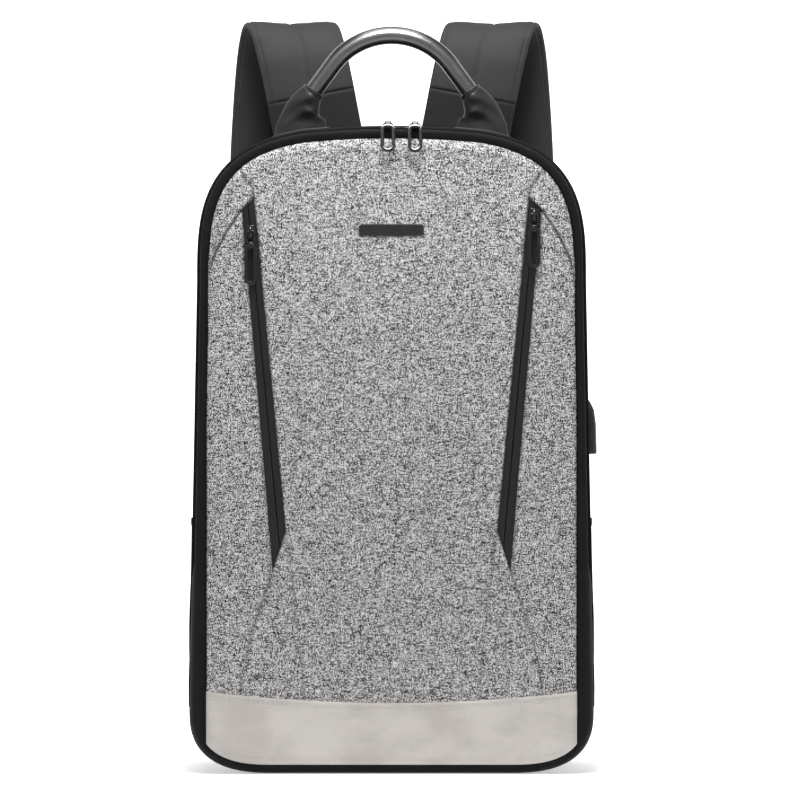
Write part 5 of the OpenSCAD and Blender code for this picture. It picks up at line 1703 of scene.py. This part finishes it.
@dataclass
class PocketZip:
    """Slanted zip of a front pocket, with its slider and its long slotted pull."""

    skin: FrontSkin
    slant: float = math.radians(5.2457)
    foot_x: float = 80.45 * MM
    foot_z: float = 173 * MM
    slider_z: dict = field(default_factory=lambda: {Side.LEFT: 385 * MM, Side.RIGHT: 397 * MM})
    bar_y: float = -67.85 * MM
    tape_y: float = -64.3 * MM
    tape_z: tuple[float, float] = (142.5 * MM, 411 * MM)
    tape_under: float = 1.2 * MM
    coil_z: tuple[float, float] = (167 * MM, 398 * MM)
    coil_off: float = 1.35 * MM
    coil_behind: float = 1.1 * MM
    coil_size: tuple[float, float] = (1.3 * MM, 1.2 * MM)

    def middle(self, z: Array | float) -> Array | float:
        """Distance of the zip's middle line from the middle of the bag at a height."""
        return self.foot_x + (z - self.foot_z) * math.tan(self.slant)

    def tape(self, side: Side) -> bpy.types.Object:
        """Both halves of the tape behind the slot, each with a bead along the zip's middle."""
        rows, cols = 120, 11
        z = np.linspace(*self.tape_z, rows)[:, None]
        inner = np.array([self.skin.slot_top, self.skin.slot_inner, self.skin.slot_tip])[::-1]
        outer = np.array([self.skin.slot_top, self.skin.slot_outer, self.skin.slot_tip])[::-1]
        mid = self.middle(z)
        halves = []
        for k, edge in enumerate((inner, outer)):
            reach = np.interp(z, edge[:, 1], edge[:, 0]) + (self.tape_under if k else -self.tape_under)
            near = mid + (ZIP_HALF_GAP if k else -ZIP_HALF_GAP)
            near = np.minimum(near, reach - 0.1 * MM) if k else np.maximum(near, reach + 0.1 * MM)
            u = np.linspace(0, 1, cols)[None]
            x = near + (reach - near) * u
            bead = 0.35 * MM * np.exp(-(np.abs(x - mid) / (0.9 * MM)) ** 2)
            y = self.tape_y - bead + 0 * z
            both = np.stack([x * side.value, y, z + 0 * x], -1)
            half = make_piece("half", both, grid_faces(rows, cols), outward=False)
            if np.mean([p.normal.y for p in half.data.polygons]) > 0:
                half.data.flip_normals()
            halves.append(half)
        piece = join(f"pocket_tape_{side.word}", halves)
        piece.data.polygons.foreach_set("use_smooth", np.ones(len(piece.data.polygons), bool))
        add_modifier(piece, "SOLIDIFY", thickness=0.7 * MM, offset=-1)
        return piece

    def coil(self, side: Side) -> bpy.types.Object:
        """Both rows of teeth behind the tape, swelling once every 1.5 mm."""
        z = np.arange(*self.coil_z, TOOTH_STEP)
        rows = []
        for off in (-self.coil_off, self.coil_off):
            x = (self.middle(z) + off) * side.value
            line = np.stack([x, np.full_like(z, self.tape_y + self.coil_behind), z], -1)
            rows.append(teeth("row", line, *self.coil_size))
        return join(f"pocket_coil_{side.word}", rows)

    def axes(self, side: Side) -> tuple[Array, Array]:
        """Place and axes of the slider: across, towards the nose, out of the bag."""
        z = self.slider_z[side]
        origin = np.array([self.middle(z) * side.value, self.bar_y, z])
        s, c = math.sin(self.slant), math.cos(self.slant)
        return origin, np.array([[c * side.value, 0, -s], [s * side.value, 0, c], [0, -1.0, 0]])

    def slider(self, side: Side) -> bpy.types.Object:
        """A slider: a waisted cap, a plate behind the tape and an arched bridge."""
        t = np.linspace(0, 1, 11)
        half = (2.6 + 1.2 * np.sin(math.pi * (0.1 + 0.75 * t))) * MM
        y = (-4.8 + 9.6 * t) * MM
        outline = np.vstack([np.stack([half, y], -1), np.stack([-half[::-1], y[::-1]], -1)])
        cap = prism("cap", outline, -2.8 * MM, -1.3 * MM, 0.4 * MM)
        behind = prism("behind", outline * [0.5, 0.8], -6.4 * MM, -5.6 * MM, 0.2 * MM)
        post = prism("post", np.array([[-0.35, -1.4], [0.35, -1.4], [0.35, 1.4], [-0.35, 1.4]]) * MM,
                     -5.8 * MM, -2.6 * MM, 0.1 * MM)
        a = np.linspace(0, math.pi, 20)
        arch = np.stack([0 * a, -3.7 * MM * np.cos(a), -1.8 * MM + 3.2 * MM * np.sin(a) ** 0.5], -1)
        bridge = sweep("bridge", arch, oval(2.0 * MM, 0.9 * MM, 12, 3))
        piece = join(f"pocket_slider_{side.word}_cast", [cap, behind, post, bridge])
        origin, axes = self.axes(side)
        return place(piece, origin, axes)

    def pull(self, side: Side) -> bpy.types.Object:
        """A pull like a figure of eight: a small window, a waist and a long slotted ring."""
        origin, _ = self.axes(side)
        window = loop_line(5.5 * MM, 8.6 * MM, 1.2 * MM)
        ring = loop_line(6.3 * MM, 27.2 * MM, 2.6 * MM)
        y_axis = np.array([0, 1.0, 0])
        parts = []
        for name, flat, drop, profile in (("window", window, -0.7 * MM, oval(1.6 * MM, 1.7 * MM, 12, 3)),
                                          ("ring", ring, 9.2 * MM, oval(1.6 * MM, 2.4 * MM, 16, 5))):
            line = np.stack([flat[:, 0], 0 * flat[:, 0], flat[:, 1] - drop], -1)
            parts.append(sweep(name, line, profile, side=y_axis, closed=True))
        waist = np.stack([np.zeros(8), np.zeros(8), np.linspace(-7.2, -11.4, 8)], -1) * MM
        parts.append(sweep("waist", waist, oval(1.55 * MM, 3.9 * MM, 14, 3), side=y_axis))
        piece = join(f"pocket_pull_{side.word}_cast", parts)
        return place(piece, origin, np.eye(3))

    def build(self) -> None:
        """Makes and dresses both pocket zips."""
        for side in Side:
            dress(self.tape(side), TAPE, [f"pocket_zip_tape_{side.word}"], "cover")
            dress(self.coil(side), COIL, [f"pocket_zip_coil_{side.word}"], "cover")
            for piece, part in ((self.slider(side), "slider"), (self.pull(side), "pull")):
                node = f"pocket_{part}_{side.word}"
                dress(piece, ENAMEL, [node], node)


@dataclass
class Fittings:
    """Blank badge plate and the charging port's hood."""

    skin: FrontSkin

    def badge(self) -> bpy.types.Object:
        """A blank dark plate with round ends, seated on the skin."""
        low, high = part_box("badge_plate")
        half_w, half_h = (high.x - low.x) / 2, (high.z - low.z) / 2
        shape = oval(2 * half_w, 2 * half_h, 64, 8)
        plate = prism("badge", shape, 0, 1.2 * MM, 0.4 * MM)
        mid_z = (low.z + high.z) / 2
        y = float(self.skin.surface_y(np.array([0.0]), np.array([mid_z]))[0])
        return place(plate, (0, y + 0.2 * MM, mid_z), ((1, 0, 0), (0, 0, 1), (0, -1, 0)))

    def hood(self) -> bpy.types.Object:
        """The port's hood: rounded over its top, with a deep mouth in its flat foot.

        Its rings are superellipses in X and Y; they run up inside the mouth's wall in reverse,
        round its lip, and then up the outside while the face falls back to the bag.
        """
        low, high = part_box("port_housing")
        mid_y = (low.y + high.y) / 2
        socket_low, socket_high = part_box("port_socket")
        clear = 0.2 * MM
        mid_x, wide_x = (socket_low.x + socket_high.x) / 2, socket_high.x - socket_low.x + clear
        wide_y = socket_high.y - socket_low.y + clear
        rings = [(socket_high.z + clear, mid_x, wide_x, wide_y, 14),
                 (low.z + 0.8 * MM, mid_x, wide_x, wide_y, 14),
                 (low.z + 0.1 * MM, mid_x, wide_x + 0.5 * MM, wide_y + 0.6 * MM, 10)]
        t = np.linspace(0, 1, 30)
        face = np.interp(t, [0, 0.03, 0.55, 0.8, 0.95, 1], [10.1, 10.5, 9.9, 8.5, 5.6, 3.4]) * MM
        width = 22 * MM * (1 - 0.55 * smoothstep(t, 0.72, 1.05) ** 1.6) - 0.7 * MM * np.exp(-t * 40)
        for k, share in enumerate(t):
            rings.append((low.z + (high.z - low.z) * share, low.x + face[k] / 2, face[k], width[k], 5))
        points = np.array([np.column_stack([oval(w, d, 48, p) + [cx, mid_y], np.full(48, z)])
                           for z, cx, w, d, p in rings])
        faces = grid_faces(len(rings), 48, True).tolist()
        faces += [list(range(48)), list(range(len(rings) * 48 - 1, (len(rings) - 1) * 48 - 1, -1))]
        return make_piece("port_hood", points, faces)

    def build(self) -> None:
        """Makes and dresses the fittings, and paints the port's own metal and plastic."""
        dress(self.badge(), BADGE, ["badge_plate"], "cover")
        dress(self.hood(), PLASTIC, ["port_housing"], "bag")
        paint(frame["nodes"]["port_socket"], STEEL)
        paint(frame["nodes"]["port_tongue"], TONGUE)


# ---- stage ----


@dataclass
class Stage:
    """Pale floor and backdrop, soft lights, and the camera."""

    aim: tuple[float, float, float] = (6 * MM, -65 * MM, 266 * MM)
    distance: float = 5.0
    width: float = 0.567
    elevation: float = math.radians(1.5)
    sensor: float = 36.0

    def camera(self) -> None:
        """A long lens straight in front, whose width at the front panel is the field's width."""
        data = bpy.data.cameras.new("camera")
        data.sensor_width = self.sensor
        data.lens = self.sensor * self.distance / self.width
        data.clip_end = 50
        camera = bpy.data.objects.new("camera", data)
        aim = Vector(self.aim)
        way = Vector((0, -math.cos(self.elevation), math.sin(self.elevation)))
        camera.location = aim + way * self.distance
        camera.rotation_euler = (-way).to_track_quat("-Z", "Y").to_euler()
        bpy.context.scene.collection.objects.link(camera)
        bpy.context.scene.camera = camera

    def light(self, name: str, place_at: tuple, size: float, power: float, aim: tuple) -> None:
        """One soft square light that faces a point."""
        data = bpy.data.lights.new(name, "AREA")
        data.size = size
        data.energy = power
        lamp = bpy.data.objects.new(name, data)
        lamp.location = place_at
        lamp.visible_camera = False
        lamp.rotation_euler = (Vector(aim) - Vector(place_at)).to_track_quat("-Z", "Y").to_euler()
        bpy.context.scene.collection.objects.link(lamp)

    def floor(self) -> None:
        """A round floor that turns up at its rim: flat, then a quarter circle, then upright; it glows as
        painted light, dim in front of the bag and white behind it.
        """
        a = np.linspace(0, math.pi / 2, 12)
        reach, bend, rise = 7.0, 1.5, 6.0
        r = np.concatenate([[0.4, 3.0], reach + bend * np.sin(a), [reach + bend]])
        z = np.concatenate([[0.0, 0.0], bend - bend * np.cos(a), [rise]])
        turn = np.linspace(0, 2 * math.pi, 96, endpoint=False)
        points = np.stack([r[:, None] * np.cos(turn), r[:, None] * np.sin(turn),
                           z[:, None] + 0 * turn], -1)
        faces = grid_faces(len(r), 96, True).tolist() + [list(range(96))]
        sheet = make_piece("floor", points, faces, outward=False)
        if sheet.data.polygons[-1].normal.z < 0:
            sheet.data.flip_normals()
        material = bpy.data.materials.new("pale_floor")
        material.use_nodes = True
        shader = material.node_tree.nodes["Principled BSDF"]
        shader.inputs["Base Color"].default_value = (0.85, 0.85, 0.85, 1)
        shader.inputs["Roughness"].default_value = 0.9
        shader.inputs["Specular IOR Level"].default_value = 0.1
        tree = material.node_tree
        where = tree.nodes.new("ShaderNodeTexCoord")
        split = tree.nodes.new("ShaderNodeSeparateXYZ")
        painted_glow = tree.nodes.new("ShaderNodeMapRange")
        painted_glow.interpolation_type = "SMOOTHSTEP"
        for label, value in (("From Min", -0.5), ("From Max", 0.5), ("To Min", 0.03), ("To Max", 1.0)):
            painted_glow.inputs[label].default_value = value
        tree.links.new(where.outputs["Object"], split.inputs[0])
        tree.links.new(split.outputs["Y"], painted_glow.inputs["Value"])
        # Painted light: emission along Y makes the floor glow, from 0.03 in front to full white behind.
        tree.links.new(painted_glow.outputs[0], shader.inputs["Emission Color"])
        shader.inputs["Emission Strength"].default_value = 1.0
        sheet.data.materials.append(material)

    def build(self) -> None:
        """Sets the whole stage."""
        self.camera()
        self.floor()
        self.light("key", (-1.3, -2.4, 2.6), 1.6, 6, (0, 0, 0.3))
        self.light("fill", (2.2, -2.0, 1.2), 1.8, 2, (0, 0, 0.25))
        self.light("top", (0, 0.1, 2.6), 1.6, 22, (0, 0, 0.3))
        self.light("crown", (0, -0.34, 0.98), 0.28, 8.5, (0, -0.05, 0.38))
        world = bpy.data.worlds.new("studio")
        world.use_nodes = True
        world.node_tree.nodes["Background"].inputs[0].default_value = (1, 1, 1, 1)
        world.node_tree.nodes["Background"].inputs[1].default_value = 0.18
        bpy.context.scene.world = world
        bpy.context.scene.view_settings.view_transform = "Standard"


def main() -> None:
    """Builds every sub-assembly in order."""
    stage = Stage()
    stage.build()
    skin = FrontSkin()
    shell = Shell(skin)
    for part in (shell, Padding(shell), Straps(), Handle(), MainZip(), PocketZip(skin), Fittings(skin)):
        part.build()
        LOG.info("%s built", type(part).__name__)


if __name__ == "__main__":
    main()
